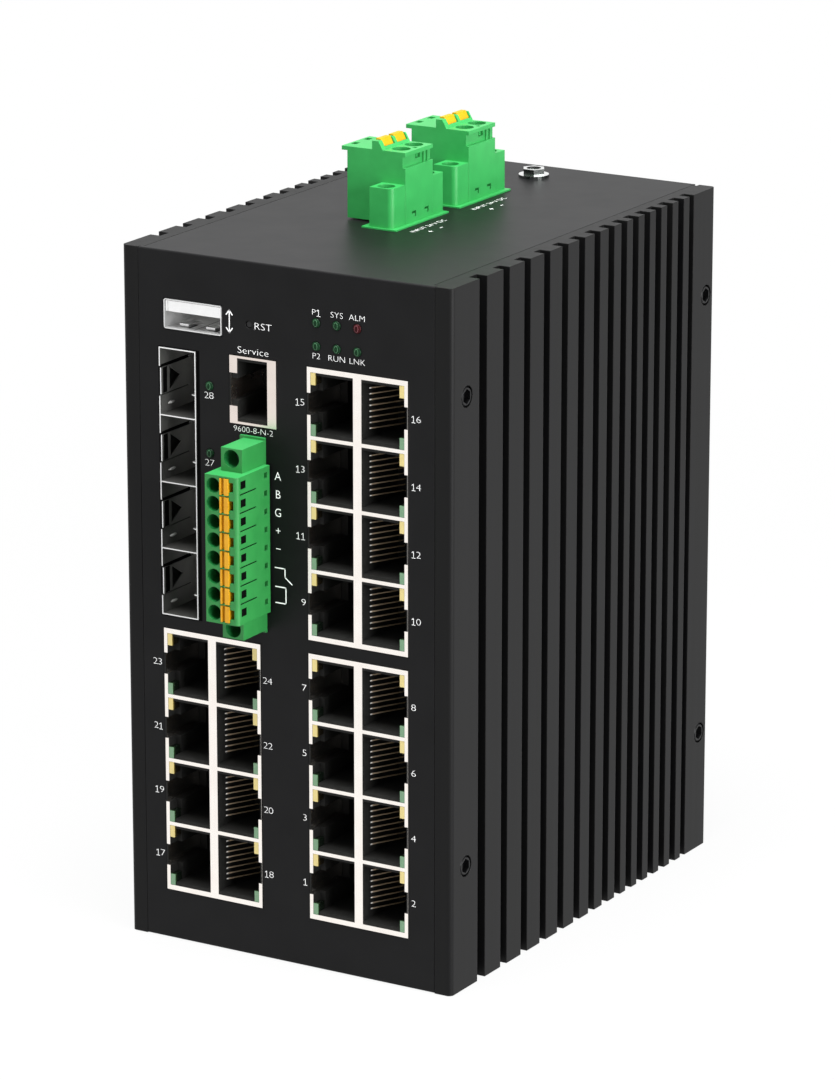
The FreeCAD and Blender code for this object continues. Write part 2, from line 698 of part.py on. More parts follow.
def jack_shield(label, x, z):
    shield = body(label + "_jack_shield")
    face = sketch(shield, "XZ_Plane", "-jack_proud")
    rectangle(face, x, z, "block_width", "block_height")
    pad(shield, face, "block_depth")
    hollow = sketch(shield, "XZ_Plane", "shield_gauge - jack_proud")
    rectangle(hollow, x + " + shield_gauge", z + " + shield_gauge",
              "block_width - 2 * shield_gauge", "block_height - 2 * shield_gauge")
    pocket(shield, hollow, "block_depth")
    windows = sketch(shield, "XZ_Plane", "-jack_proud")
    low = "%s + %s" % (z, frame_end)
    high = low + " + port_height"
    notch_low = low + " + (port_height - latch_height) / 2"
    notch_high = low + " + (port_height + latch_height) / 2"
    for side in ("left", "right"):
        latch, way, edge = column(x, side)
        wall = step(latch, way, "port_width")
        notch = step(edge, way, "shield_gauge")
        outline(windows, [(latch, low), (wall, low), (wall, high), (latch, high), (latch, notch_high),
                          (notch, notch_high), (notch, notch_low), (latch, notch_low)])
    opening = pocket(shield, windows, "shield_gauge")
    repeat(shield, [opening], "Z_Axis", "port_pitch", "port_rows")
    node(shield)


def jack_housing(label, x, z):
    housing = body(label + "_jack_housing")
    front = "shield_gauge - jack_proud"
    inset = "(shield_gauge + fit)"
    face = sketch(housing, "XZ_Plane", front)
    rectangle(face, x + " + " + inset, z + " + " + inset,
              "block_width - 2 * " + inset, "block_height - 2 * " + inset)
    pad(housing, face, "block_depth - shield_gauge")
    low = "%s + %s" % (z, frame_end)
    rooms = sketch(housing, "XZ_Plane", front)
    light_rooms = sketch(housing, "XZ_Plane", front)
    channels = sketch(housing, "XZ_Plane", front)
    for side in ("left", "right"):
        latch, way, edge = column(x, side)
        inner = step(latch, way, "port_width - cavity_width")
        wall = step(latch, way, "port_width")
        upright(rooms, inner, wall, low + " + (port_height - cavity_height) / 2", "cavity_height")
        upright(light_rooms, latch, inner, low, "port_height")
        upright(channels, step(edge, way, inset), inner,
                low + " + (port_height - latch_height) / 2", "latch_height")
    features = [pocket(housing, rooms, "cavity_depth"), pocket(housing, light_rooms, "lens_depth"),
                pocket(housing, channels, "latch_depth")]
    repeat(housing, features, "Z_Axis", "port_pitch", "port_rows")
    node(housing)


def upright(drawing, start, end, low, height):
    high = "%s + %s" % (low, height)
    outline(drawing, [(start, low), (end, low), (end, high), (start, high)])


def contact_row(label, walls, low):
    """Slanting contact wires that leave each wall, stacked along the column."""
    wires = body(label)
    first = "%s + (port_height - (contact_count - 1) * contact_pitch - contact_gauge) / 2" % low
    drawing = sketch(wires, "XY_Plane", first)
    for wall, way in walls:
        tip = step(wall, way, "contact_rise")
        outline(drawing, [(wall, "contact_start"), (tip, "contact_start + contact_run"),
                          (tip, "contact_start + contact_run + contact_slice"),
                          (wall, "contact_start + contact_slice")])
    wire = pad(wires, drawing, "contact_gauge")
    return wires, wire


def jack_contacts(label, x, z):
    walls = []
    for side in ("left", "right"):
        latch, way, edge = column(x, side)
        walls.append((step(latch, way, "port_width"), -way))
    wires, wire = contact_row(label + "_jack_wires", walls, "%s + %s" % (z, frame_end))
    row = repeat(wires, [wire], "Z_Axis", "contact_pitch", "contact_count")
    row.Direction2 = (origin(wires, "Z_Axis"), [""])
    row.setExpression("Length2", bind("port_pitch * (port_rows - 1)"))
    row.setExpression("Occurrences2", bind("port_rows"))
    return wires


def jack_lenses(label, x, z, height, drop):
    lenses = body(label)
    drawing = sketch(lenses, "XZ_Plane", "lens_setback")
    low = "%s + %s + %s" % (z, frame_end, drop)
    for side in ("left", "right"):
        latch, way, edge = column(x, side)
        start = step(latch, way, "fit")
        upright(drawing, start, step(start, way, "lens_width"), low, height + " - fit")
    lens = pad(lenses, drawing, "lens_depth - lens_setback - jack_proud")
    repeat(lenses, [lens], "Z_Axis", "port_pitch", "port_rows")
    return lenses


def jacks():
    contacts = []
    yellow = []
    green = []
    for label, (x, z) in jack_places.items():
        jack_shield(label, x, z)
        jack_housing(label, x, z)
        contacts.append(jack_contacts(label, x, z))
        yellow.append(jack_lenses(label + "_upper_lenses", x, z, "yellow_height",
                                  "port_height - yellow_height"))
        green.append(jack_lenses(label + "_lower_lenses", x, z, "green_height", "fit"))
    contacts.append(console_jack())
    node(group("jack_contacts", contacts))
    node(group("yellow_lenses", yellow))
    node(group("green_lenses", green))


def console_jack():
    """The single jack: shield and housing become nodes, its contact wires are handed back."""
    latch = "console_x + console_side"
    wall = latch + " + console_port"
    low = "console_z + (console_height - port_height) / 2"
    high = low + " + port_height"
    middle = "console_z + console_height / 2"
    shield = body("console_shield")
    face = sketch(shield, "XZ_Plane", "-jack_proud")
    rectangle(face, "console_x", "console_z", "console_width", "console_height")
    pad(shield, face, "console_depth")
    hollow = sketch(shield, "XZ_Plane", "shield_gauge - jack_proud")
    rectangle(hollow, "console_x + shield_gauge", "console_z + shield_gauge",
              "console_width - 2 * shield_gauge", "console_height - 2 * shield_gauge")
    pocket(shield, hollow, "console_depth")
    window = sketch(shield, "XZ_Plane", "-jack_proud")
    notch = "console_x + shield_gauge"
    notch_high = middle + " + console_notch / 2"
    notch_low = middle + " - console_notch / 2"
    outline(window, [(latch, low), (wall, low), (wall, high), (latch, high), (latch, notch_high),
                     (notch, notch_high), (notch, notch_low), (latch, notch_low)])
    pocket(shield, window, "shield_gauge")
    node(shield)
    housing = body("console_housing")
    front = "shield_gauge - jack_proud"
    inset = "(shield_gauge + fit)"
    block_face = sketch(housing, "XZ_Plane", front)
    rectangle(block_face, "console_x + " + inset, "console_z + " + inset,
              "console_width - 2 * " + inset, "console_height - 2 * " + inset)
    pad(housing, block_face, "console_depth - shield_gauge")
    room = sketch(housing, "XZ_Plane", front)
    upright(room, latch, wall, middle + " - cavity_height / 2", "cavity_height")
    pocket(housing, room, "cavity_depth")
    channel = sketch(housing, "XZ_Plane", front)
    upright(channel, "console_x + " + inset, latch, middle + " - latch_height / 2", "latch_height")
    pocket(housing, channel, "latch_depth")
    node(housing)
    wires, wire = contact_row("console_wires", [(wall, -1)], low)
    repeat(wires, [wire], "Z_Axis", "contact_pitch", "contact_count")
    return wires


# Module bays

cage_height = "bays * bay_pitch + cage_gauge"


def module_cage():
    cage = body("module_cage")
    front = "-jack_proud"
    middle = "cage_z + (bay_pitch + cage_gauge) / 2"
    face = sketch(cage, "XZ_Plane", front)
    rectangle(face, "cage_x", "cage_z", "cage_width", cage_height)
    pad(cage, face, "cage_depth")
    bay = sketch(cage, "XZ_Plane", front)
    rectangle(bay, "cage_x + cage_gauge", "cage_z + cage_gauge",
              "cage_width - 2 * cage_gauge", "bay_pitch - cage_gauge")
    features = [pocket(cage, bay, "cage_depth - cage_gauge")]
    slit = sketch(cage, "YZ_Plane", "cage_x")
    rectangle(slit, front, middle + " - tongue_height / 2 - tongue_slit",
              "tongue_length", "tongue_height + 2 * tongue_slit")
    features.append(pocket(cage, slit, "cage_gauge"))
    tongue = sketch(cage, "XY_Plane", middle + " - tongue_height / 2")
    inside = "cage_x + tongue_inset"
    end = "tongue_length - jack_proud"
    outline(tongue, [(inside, front), (inside + " + cage_gauge", front),
                     (inside + " + cage_gauge", end + " + cage_gauge"), ("cage_x", end + " + cage_gauge"),
                     ("cage_x", end), (inside, end)])
    features.append(pad(cage, tongue, "tongue_height"))
    catch = sketch(cage, "YZ_Plane", "cage_x")
    outline(catch, [("catch_start", middle + " - catch_base / 2"), ("catch_start + catch_length", middle),
                    ("catch_start", middle + " + catch_base / 2")])
    features.append(pocket(cage, catch, "tongue_inset + 2 * cage_gauge"))
    repeat(cage, features, "Z_Axis", "bay_pitch", "bays")
    node(cage)
    sockets = body("module_sockets")
    foot = sketch(sockets, "XZ_Plane", "cage_depth - cage_gauge - jack_proud - module_socket_depth")
    rectangle(foot, "cage_x + cage_gauge", middle + " - module_socket_height / 2",
              "module_socket_width", "module_socket_height")
    repeat(sockets, [pad(sockets, foot, "module_socket_depth")], "Z_Axis", "bay_pitch", "bays")
    node(sockets)


# Service socket, reset and lights

def service_socket():
    shell = body("service_socket_shell")
    right = "socket_x + socket_width"
    top = "socket_z + socket_height"
    face = sketch(shell, "XZ_Plane", "-jack_proud")
    rectangle(face, "socket_x", "socket_z", "socket_width", "socket_height")
    pad(shell, face, "socket_depth")
    corners = []
    for x in ("socket_x", right):
        for z in ("socket_z", top):
            corners += edges_at(shell, x=x, z=z)
    round_edges(shell, corners, "socket_corner")
    hollow = sketch(shell, "XZ_Plane", "-jack_proud")
    rectangle(hollow, "socket_x + socket_gauge", "socket_z + socket_gauge",
              "socket_width - 2 * socket_gauge", "socket_height - 2 * socket_gauge")
    pocket(shell, hollow, "socket_depth")
    node(shell)
    inset = "(socket_gauge + fit)"
    blade = body("service_socket_tongue")
    base = sketch(blade, "XZ_Plane", "socket_depth - blade_base - jack_proud")
    rectangle(base, "socket_x + " + inset, "socket_z + " + inset,
              "socket_width - 2 * " + inset, "socket_height - 2 * " + inset)
    pad(blade, base, "blade_base")
    tongue = sketch(blade, "XZ_Plane", "blade_setback - jack_proud")
    rectangle(tongue, "socket_x + " + inset, top + " - " + inset + " - blade_height",
              "socket_width - 2 * " + inset, "blade_height")
    pad(blade, tongue, "socket_depth - blade_setback")
    node(blade)


def reset_button():
    switch = block("reset_switch_block", "reset_x - reset_block / 2", "reset_block_front",
                   "reset_z - reset_block / 2", io_board_x + " - reset_x + reset_block / 2",
                   "reset_block_depth", "reset_block")
    start = "sheet_gauge + reset_setback"
    low = "reset_z - reset_pin / 2"
    left = "reset_x - reset_pin / 2"
    well = block("reset_well", left + " - slip", start, low + " - slip", "reset_pin + 2 * slip",
                 "reset_pin_length + reset_travel + slip", "reset_pin + 2 * slip")
    node(cut("reset_switch", switch, [well]))
    pin = block("reset_pin_bar", left, start, low, "reset_pin", "reset_pin_length", "reset_pin")
    tip = peg("reset_pin_tip", "reset_x", "reset_tip_setback", "reset_z", "reset_tip",
              start + " - reset_tip_setback", "y")
    node(fuse("reset_pin_button", [tip, pin]))


def status_lights():
    places = []
    for row, z in (("lower", "light_z"), ("upper", "light_z + light_pitch")):
        for spot in range(count("light_columns")):
            places.append(("%s_light_%d" % (row, spot + 1), "light_x + %d * light_pitch" % spot, z))
    return places


def bay_lights():
    return [("bay_light_%d" % (bay + 1), "bay_light_x", "cage_z + %d * bay_pitch + bay_light_rise" % bay)
            for bay in range(count("bays"))]


def lights():
    pipes = {name: peg(name, x, "-light_proud", z, "light_diameter", "holder_front + light_proud", "y")
             for name, x, z in status_lights() + bay_lights()}
    red = "upper_light_%d" % count("light_columns")
    node(group("alarm_light", [pipes.pop(red)]))
    node(group("green_lights", list(pipes.values())))
    low = "light_z - light_diameter / 2 - holder_rim"
    height = "light_pitch + light_diameter + 2 * holder_rim"
    status_end = "light_x + (light_columns - 1) * light_pitch + light_diameter / 2 + holder_rim"
    status = block("status_holder_block", io_right, "holder_front", low, "%s - (%s)" % (status_end, io_right),
                   "holder_depth", height)
    cage_side = "cage_x + cage_width"
    bay_low = "cage_z + bay_light_rise - light_diameter / 2 - holder_rim"
    bay_height = "(bays - 1) * bay_pitch + light_diameter + 2 * holder_rim"
    carrier = block("bay_holder_block", cage_side, "holder_front", bay_low,
                    "bay_light_x + light_diameter / 2 + holder_rim - (%s)" % cage_side,
                    "holder_depth", bay_height)
    node(group("light_holders", [status, carrier]))


# Signal plug and its header

signal_height = "(signal_poles * signal_pitch + 2 * signal_rim)"
signal_low = "signal_z - %s / 2" % signal_height
signal_pole = "signal_z - (signal_poles - 1) * signal_pitch / 2"
signal_high = "signal_z + %s / 2" % signal_height
signal_header_height = "(%s + signal_ear_height + signal_foot_ear + 2 * signal_header_over)" % signal_height
signal_header_low = signal_low + " - signal_foot_ear - signal_header_over"
signal_ears = [(signal_low + " - signal_foot_ear", "signal_foot_ear"), (signal_high, "signal_ear_height")]
signal_screw_x = "signal_x + signal_ear_x + signal_ear_width / 2"
signal_screw_levels = [signal_low + " - signal_screw_drop", signal_high + " + signal_screw_rise"]


def signal_header():
    header = body("signal_header")
    left = "signal_x + signal_header_x"
    flange = sketch(header, "XZ_Plane", "-header_flange")
    rectangle(flange, left, signal_header_low, "signal_header_width", signal_header_height)
    pad(header, flange, "header_flange")
    inner_left_edge = left + " + header_rim + fit"
    inner_low = signal_header_low + " + header_rim + fit"
    inner_height = signal_header_height + " - 2 * (header_rim + fit)"
    trunk = sketch(header, "XZ_Plane", "0")
    rectangle(trunk, inner_left_edge, inner_low, "signal_header_width - 2 * (header_rim + fit)", inner_height)
    pad(header, trunk, "header_depth")
    foot = sketch(header, "XZ_Plane", "sheet_gauge + fit")
    rectangle(foot, inner_left_edge, inner_low, "%s - (%s)" % (io_board_x, inner_left_edge), inner_height)
    pad(header, foot, "header_depth - sheet_gauge - fit")
    room = sketch(header, "XZ_Plane", "-header_flange")
    rectangle(room, "signal_x + signal_nose_x - slip", signal_low + " - slip",
              "signal_nose_width + 2 * slip", signal_height + " + 2 * slip")
    pocket(header, room, "header_flange + signal_nose + slip")
    slots = sketch(header, "XZ_Plane", "0")
    rectangle(slots, pin_left + " - fit", signal_pole + " - pin_gauge / 2 - fit",
              "pin_gauge + 2 * fit", "pin_gauge + 2 * fit")
    repeat(header, [pocket(header, slots, "header_depth")], "Z_Axis", "signal_pitch", "signal_poles")
    node(header)


pin_left = "signal_x + signal_nose_x + signal_nose_width / 2 - pin_gauge / 2"


def signal_pins():
    """Right-angle pins from the plug's nose, out of the header's back and over to the board."""
    pins = body("signal_pins")
    drawing = sketch(pins, "XY_Plane", signal_pole + " - pin_gauge / 2")
    right = pin_left + " + pin_gauge"
    turn = "header_depth + pin_tail - pin_gauge"
    end = "header_depth + pin_tail"
    outline(drawing, [(pin_left, "sheet_gauge"), (right, "sheet_gauge"), (right, turn),
                      (io_board_x, turn), (io_board_x, end), (pin_left, end)])
    repeat(pins, [pad(pins, drawing, "pin_gauge")], "Z_Axis", "signal_pitch", "signal_poles")
    return pins


def signal_plug():
    plug = body("signal_plug")
    front = "-signal_reach"
    right = "signal_x + signal_width"
    section = sketch(plug, "XY_Plane", signal_low)
    rectangle(section, "signal_x", front, "signal_width", "signal_reach - header_flange")
    pad(plug, section, signal_height)
    round_edges(plug, edges_at(plug, x=right, y=front), "signal_corner")
    nose = sketch(plug, "XZ_Plane", "-header_flange")
    rectangle(nose, "signal_x + signal_nose_x", signal_low, "signal_nose_width", signal_height)
    pad(plug, nose, "header_flange + signal_nose")
    ears = sketch(plug, "XZ_Plane", "-signal_ear_reach")
    for level, height in signal_ears:
        rectangle(ears, "signal_x + signal_ear_x", level, "signal_ear_width", height)
    pad(plug, ears, "signal_ear_reach - header_flange")
    screw_wells(plug, signal_screw_x, signal_screw_levels)
    poles = signal_pole_cuts(plug, front, right)
    repeat(plug, poles, "Z_Axis", "signal_pitch", "signal_poles")
    grooves = sketch(plug, "YZ_Plane", right)
    between = signal_pole + " + window_rise + (signal_pitch - rib_groove) / 2"
    rectangle(grooves, front + " + rib_groove_start", between,
              "rib_groove_length", "rib_groove")
    groove = pocket(plug, grooves, "4 * rib_groove", forward=False)
    repeat(plug, [groove], "Z_Axis", "signal_pitch", "(signal_poles - 1)")
    node(plug)


def screw_wells(plug, x, levels):
    wells = sketch(plug, "XZ_Plane", "-signal_ear_reach")
    for level in levels:
        small_round(wells, x, level, "flange_screw_hole", wire_sides)
    pocket(plug, wells, "signal_ear_reach - header_flange - flange_screw_seat")


def signal_pole_cuts(plug, front, right):
    """Cuts of the lowest pole: wire hole, button room, recess, clamp room, pin hole, side windows."""
    wire = sketch(plug, "XZ_Plane", front)
    small_round(wire, "signal_x + signal_wire_x", signal_pole, "signal_wire", wire_sides)
    well = sketch(plug, "XZ_Plane", front)
    rectangle(well, "signal_x + signal_button_x - slip", signal_pole + " - signal_button_height / 2 - slip",
              "signal_button_width + 2 * slip", "signal_button_height + 2 * slip")
    recess = sketch(plug, "XZ_Plane", front)
    rectangle(recess, "signal_x + signal_button_x + signal_button_width",
              signal_pole + " - signal_recess_height / 2", "signal_recess", "signal_recess_height")
    room = sketch(plug, "XZ_Plane", "-header_flange - clamp_floor - signal_clamp_depth - slip")
    rectangle(room, "signal_x + signal_clamp_x - slip", signal_pole + " - signal_clamp_height / 2 - slip",
              "signal_clamp_width + 2 * slip", "signal_clamp_height + 2 * slip")
    socket = sketch(plug, "XZ_Plane", "-header_flange + slip")
    rectangle(socket, pin_left + " - slip", signal_pole + " - pin_gauge / 2 - slip",
              "pin_gauge + 2 * slip", "pin_gauge + 2 * slip")
    window = sketch(plug, "YZ_Plane", right)
    rectangle(window, front + " + window_y", signal_pole + " + window_rise - window_height / 2",
              "window_width", "window_height")
    behind = sketch(plug, "YZ_Plane", right + " - window_skin")
    rectangle(behind, front + " + window_y", signal_pole + " + window_rise - window_height / 2",
              "window_room", "window_height")
    vent = sketch(plug, "YZ_Plane", right)
    rectangle(vent, "-vent_y - vent_width / 2", signal_pole + " + window_rise - vent_height / 2",
              "vent_width", "vent_height")
    return [pocket(plug, wire, "signal_wire_depth"),
            pocket(plug, well, "signal_button_length + button_travel + slip"),
            pocket(plug, recess, "signal_recess_depth"), pocket(plug, room, "signal_clamp_depth + slip"),
            pocket(plug, socket, "header_flange + signal_nose"),
            pocket(plug, window, "window_depth", forward=False),
            pocket(plug, behind, "window_depth - window_skin", forward=False),
            pocket(plug, vent, "window_depth", forward=False)]


def signal_clamps():
    """A strip bent to a U in each pole, open to the wire."""
    clamps = body("signal_clamps")
    left = "signal_x + signal_clamp_x"
    right = left + " + signal_clamp_width"
    back = "-header_flange - clamp_floor"
    front = back + " - signal_clamp_depth"
    drawing = sketch(clamps, "XY_Plane", signal_pole + " - signal_clamp_height / 2")
    outline(drawing, [(left, front), (left + " + clamp_gauge", front),
                      (left + " + clamp_gauge", back + " - clamp_gauge"),
                      (right + " - clamp_gauge", back + " - clamp_gauge"),
                      (right + " - clamp_gauge", front), (right, front), (right, back), (left, back)])
    repeat(clamps, [pad(clamps, drawing, "signal_clamp_height")], "Z_Axis", "signal_pitch", "signal_poles")
    return clamps


def signal_buttons():
    for pole in range(count("signal_poles")):
        button = body("signal_release_%d" % (pole + 1))
        middle = "%s + %d * signal_pitch" % (signal_pole, pole)
        left = "signal_x + signal_button_x"
        face = sketch(button, "XZ_Plane", "-signal_reach - button_proud")
        rectangle(face, left, middle + " - signal_button_height / 2",
                  "signal_button_width", "signal_button_height")
        pad(button, face, "signal_button_length + button_proud")
        slot = sketch(button, "XZ_Plane", "-signal_reach - button_proud")
        rectangle(slot, left + " + button_groove_x", middle + " - signal_button_height / 2",
                  "button_groove", "signal_button_height")
        pocket(button, slot, "button_groove")
        node(button)


# Power plugs and their headers

power_places = {"first": "power_y", "second": "power_y + power_spacing"}
power_top = "case_height + power_flange + power_height"
power_foot = "case_height + power_flange"
power_header_length = "(power_ear_length + power_length + power_rear_ear + 2 * power_header_lead)"
power_screw_x = "power_x + power_ear_x + power_ear_width / 2"
power_pin_left = "power_x + power_nose_x + power_nose_width / 2 - pin_gauge / 2"


def power_header_front(y):
    return y + " - power_ear_length - power_header_lead"


def power_screw_rows(y):
    return [y + " - power_ear_length + power_ear_hole",
            y + " + power_length + power_rear_ear - power_ear_hole"]


def power_header(label, y):
    header = body(label + "_power_header")
    left = "power_x + power_header_x"
    flange = sketch(header, "XY_Plane", "case_height")
    rectangle(flange, left, power_header_front(y), "power_header_width", power_header_length)
    pad(header, flange, "power_flange")
    trunk = sketch(header, "XY_Plane", "case_height")
    rectangle(trunk, left + " + header_rim + fit", power_header_front(y) + " + header_rim + fit",
              "power_header_width - 2 * (header_rim + fit)",
              power_header_length + " - 2 * (header_rim + fit)")
    pad(header, trunk, "header_depth", forward=False)
    room = sketch(header, "XY_Plane", power_foot)
    rectangle(room, "power_x + power_nose_x - slip", y + " - slip",
              "power_nose_width + 2 * slip", "power_length + 2 * slip")
    pocket(header, room, "power_flange + power_nose + slip", forward=False)
    slots = sketch(header, "XY_Plane", "case_height")
    rectangle(slots, power_pin_left + " - fit", y + " + power_first_pole - pin_gauge / 2 - fit",
              "pin_gauge + 2 * fit", "pin_gauge + 2 * fit")
    slot = pocket(header, slots, "header_depth", forward=False)
    repeat(header, [slot], "Y_Axis", "power_pitch", "power_poles")
    return header


def power_pins(label, y):
    pins = body(label + "_power_pins")
    end = sketch(pins, "XY_Plane", "case_height - sheet_gauge")
    rectangle(end, power_pin_left, y + " + power_first_pole - pin_gauge / 2", "pin_gauge", "pin_gauge")
    length = "case_height - sheet_gauge - (%s)" % io_board_top
    repeat(pins, [pad(pins, end, length, forward=False)], "Y_Axis", "power_pitch", "power_poles")
    return pins


def power_plug(label, y):
    plug = body(label + "_power_plug")
    left = "power_x"
    right = "power_x + power_width"
    ridge = "power_x + ridge_x"
    crest = power_top + " + ridge_height"
    waist = right + " - waist_depth"
    lip = power_top + " - ledge_gauge"
    section = sketch(plug, "XZ_Plane", y)
    outline(section, [(left, power_foot), (right, power_foot), (right, lip + " - waist_height"),
                      (waist, lip + " - waist_height"), (waist, lip), (right, lip), (right, power_top),
                      (ridge + " + ridge_foot", power_top), (ridge + " + ridge_top", crest), (ridge, crest),
                      (ridge, power_top), (left + " - ledge_reach", power_top),
                      (left + " - ledge_reach", lip), (left, lip)])
    pad(plug, section, "power_length")
    ears = sketch(plug, "XY_Plane", power_foot)
    rectangle(ears, left + " + power_ear_x", y + " - power_ear_length", "power_ear_width", "power_ear_length")
    rectangle(ears, left + " + power_ear_x", y + " + power_length", "power_ear_width", "power_rear_ear")
    pad(plug, ears, "power_ear_height")
    ear_right = left + " + power_ear_x + power_ear_width"
    round_edges(plug, edges_at(plug, x=ear_right, y=y + " - power_ear_length"), "power_ear_corner")
    nose = sketch(plug, "XY_Plane", power_foot)
    rectangle(nose, left + " + power_nose_x", y, "power_nose_width", "power_length")
    pad(plug, nose, "power_flange + power_nose", forward=False)
    wells = sketch(plug, "XY_Plane", power_foot + " + power_ear_height")
    for row in power_screw_rows(y):
        small_round(wells, power_screw_x, row, "flange_screw_hole", wire_sides)
    pocket(plug, wells, "power_ear_height - flange_screw_seat", forward=False)
    repeat(plug, power_pole_cuts(plug, y, crest), "Y_Axis", "power_pitch", "power_poles")
    waist_cuts(plug, y, waist, lip)
    node(plug)


def power_pole_cuts(plug, y, crest):
    """Cuts of the front pole: wire hole, button room, clamp room, pin hole, ledge hole, foot window."""
    pole = y + " + power_first_pole"
    wire = sketch(plug, "XY_Plane", power_top)
    small_round(wire, "power_x + power_wire_x", pole, "power_wire", wide_sides)
    well = sketch(plug, "XY_Plane", crest)
    rectangle(well, "power_x + ridge_x - slip", pole + " - power_button_width / 2 - slip",
              "ridge_foot - power_button_sink + 2 * slip", "power_button_width + 2 * slip")
    room = sketch(plug, "XY_Plane", power_foot + " + clamp_floor")
    rectangle(room, "power_x + ridge_x - slip", pole + " - power_clamp_depth / 2 - slip",
              "power_clamp_width + 2 * slip", "power_clamp_depth + 2 * slip")
    socket = sketch(plug, "XY_Plane", power_foot + " - slip")
    rectangle(socket, power_pin_left + " - slip", pole + " - pin_gauge / 2 - slip",
              "pin_gauge + 2 * slip", "pin_gauge + 2 * slip")
    hole = sketch(plug, "XY_Plane", power_top)
    rectangle(hole, "power_x - ledge_reach + ledge_rim", pole + " - ledge_hole / 2",
              "ledge_hole_reach", "ledge_hole")
    foot = sketch(plug, "YZ_Plane", "power_x + power_width")
    foot_window(foot, pole)
    return [pocket(plug, wire, "power_wire_depth", forward=False),
            pocket(plug, well, "ridge_height + power_button_length + button_travel + slip", forward=False),
            pocket(plug, room, "power_clamp_height + slip"),
            pocket(plug, socket, "power_flange + power_nose", forward=False),
            pocket(plug, hole, "ledge_gauge", forward=False),
            pocket(plug, foot, "window_depth", forward=False)]


def foot_window(drawing, pole):
    """A window of two legs, one along its top and one down its rear side."""
    front = pole + " - foot_window_width / 2"
    rear = pole + " + foot_window_width / 2"
    low = power_foot + " + foot_window_z"
    high = low + " + foot_window_height"
    inner = rear + " - foot_window_bar"
    outline(drawing, [(front, high + " - foot_window_bar"), (inner, high + " - foot_window_bar"),
                      (inner, low), (rear, low), (rear, high), (front, high)])


def waist_cuts(plug, y, waist, lip):
    """The ribs and the latch slot in the waist, and the test hole in the top."""
    ribs = sketch(plug, "YZ_Plane", waist)
    for rib in range(2):
        rectangle(ribs, y + " + waist_rib_y + %d * waist_rib_pitch" % rib, lip + " - waist_height",
                  "waist_rib", "waist_height")
    pad(plug, ribs, "waist_rib_reach")
    between = y + " + power_first_pole + power_pitch / 2"
    slot = sketch(plug, "YZ_Plane", waist)
    rectangle(slot, between + " - latch_slot / 2", lip + " - latch_slot_height",
              "latch_slot", "latch_slot_height")
    pocket(plug, slot, "latch_slot_depth", forward=False)
    probe = sketch(plug, "XY_Plane", power_top)
    rectangle(probe, "power_x + power_width - probe_inset - probe_hole", between + " - probe_hole / 2",
              "probe_hole", "probe_hole")
    pocket(plug, probe, "probe_depth", forward=False)


def power_clamps(label, y):
    clamps = body(label + "_power_clamps")
    left = "power_x + ridge_x"
    right = left + " + power_clamp_width"
    foot = power_foot + " + clamp_floor"
    top = foot + " + power_clamp_height"
    drawing = sketch(clamps, "XZ_Plane", y + " + power_first_pole - power_clamp_depth / 2")
    outline(drawing, [(left, foot), (right, foot), (right, top), (right + " - clamp_gauge", top),
                      (right + " - clamp_gauge", foot + " + clamp_gauge"),
                      (left + " + clamp_gauge", foot + " + clamp_gauge"), (left + " + clamp_gauge", top),
                      (left, top)])
    repeat(clamps, [pad(clamps, drawing, "power_clamp_depth")], "Y_Axis", "power_pitch", "power_poles")
    return clamps


def power_buttons(label, y):
    left = "power_x + ridge_x"
    crest = power_top + " + ridge_height + button_proud"
    foot = power_top + " - power_button_length"
    for pole in range(count("power_poles")):
        button = body("%s_power_release_%d" % (label, pole + 1))
        start = "%s + power_first_pole + %d * power_pitch - power_button_width / 2" % (y, pole)
        section = sketch(button, "XZ_Plane", start)
        right = left + " + ridge_foot - power_button_sink"
        outline(section, [(left, foot), (right, foot), (right, power_top),
                          (left + " + ridge_top - power_button_sink", crest), (left, crest)])
        pad(button, section, "power_button_width")
        node(button)


def terminal_blocks():
    signal_header()
    signal_plug()
    signal_buttons()
    pins = [signal_pins()]
    clamps = [signal_clamps()]
    headers = []
    for label, y in power_places.items():
        headers.append(power_header(label, y))
        power_plug(label, y)
        power_buttons(label, y)
        pins.append(power_pins(label, y))
        clamps.append(power_clamps(label, y))
    node(group("power_headers", headers))
    node(group("header_pins", pins))
    node(group("wire_clamps", clamps))


def ground_screw():
    y = "case_depth - ground_rear"
    flange = prism("ground_screw_flange", wide_sides, "ground_x", y, "case_height", "ground_flange / 2",
                   "ground_flange_gauge", "z")
    crown = hexagon("ground_screw_hex", "ground_x", y, "case_height",
                    "ground_flats", "ground_flange_gauge + ground_crown", "z")
    top = "case_height + ground_flange_gauge + ground_crown"
    dish = peg("ground_screw_dish", "ground_x", y, top, "ground_dish", "ground_dish_depth", "-z")
    head = fuse("ground_screw_head", [flange, crown])
    node(cut("ground_screw", head, [dish]))


# Boards and what they carry

io_board_x = "console_x + console_width"
io_right = "console_x + console_width + board_gauge"
io_board_top = "case_height - header_depth - pin_tail"
main_board_x = "cage_x - board_gauge"
port_board_x = "case_width - right_block_inset + fit"
link_front = "case_depth - link_rear"
board_length = "(case_depth - board_front - board_rear)"
board_height = "(case_height - board_low - board_high)"
board_screw_places = [
    (end + "_" + level, y, z)
    for end, y in (("front", "block_depth + board_inset"), ("rear", "case_depth - board_rear - board_inset"))
    for level, z in (("low", "board_low + board_inset"), ("high", "case_height - board_high - board_inset"))
]


def side_board(label, x):
    plate = block(label + "_plate", x, "board_front", "board_low", "board_gauge", board_length, board_height)
    node(group(label, [plate]))


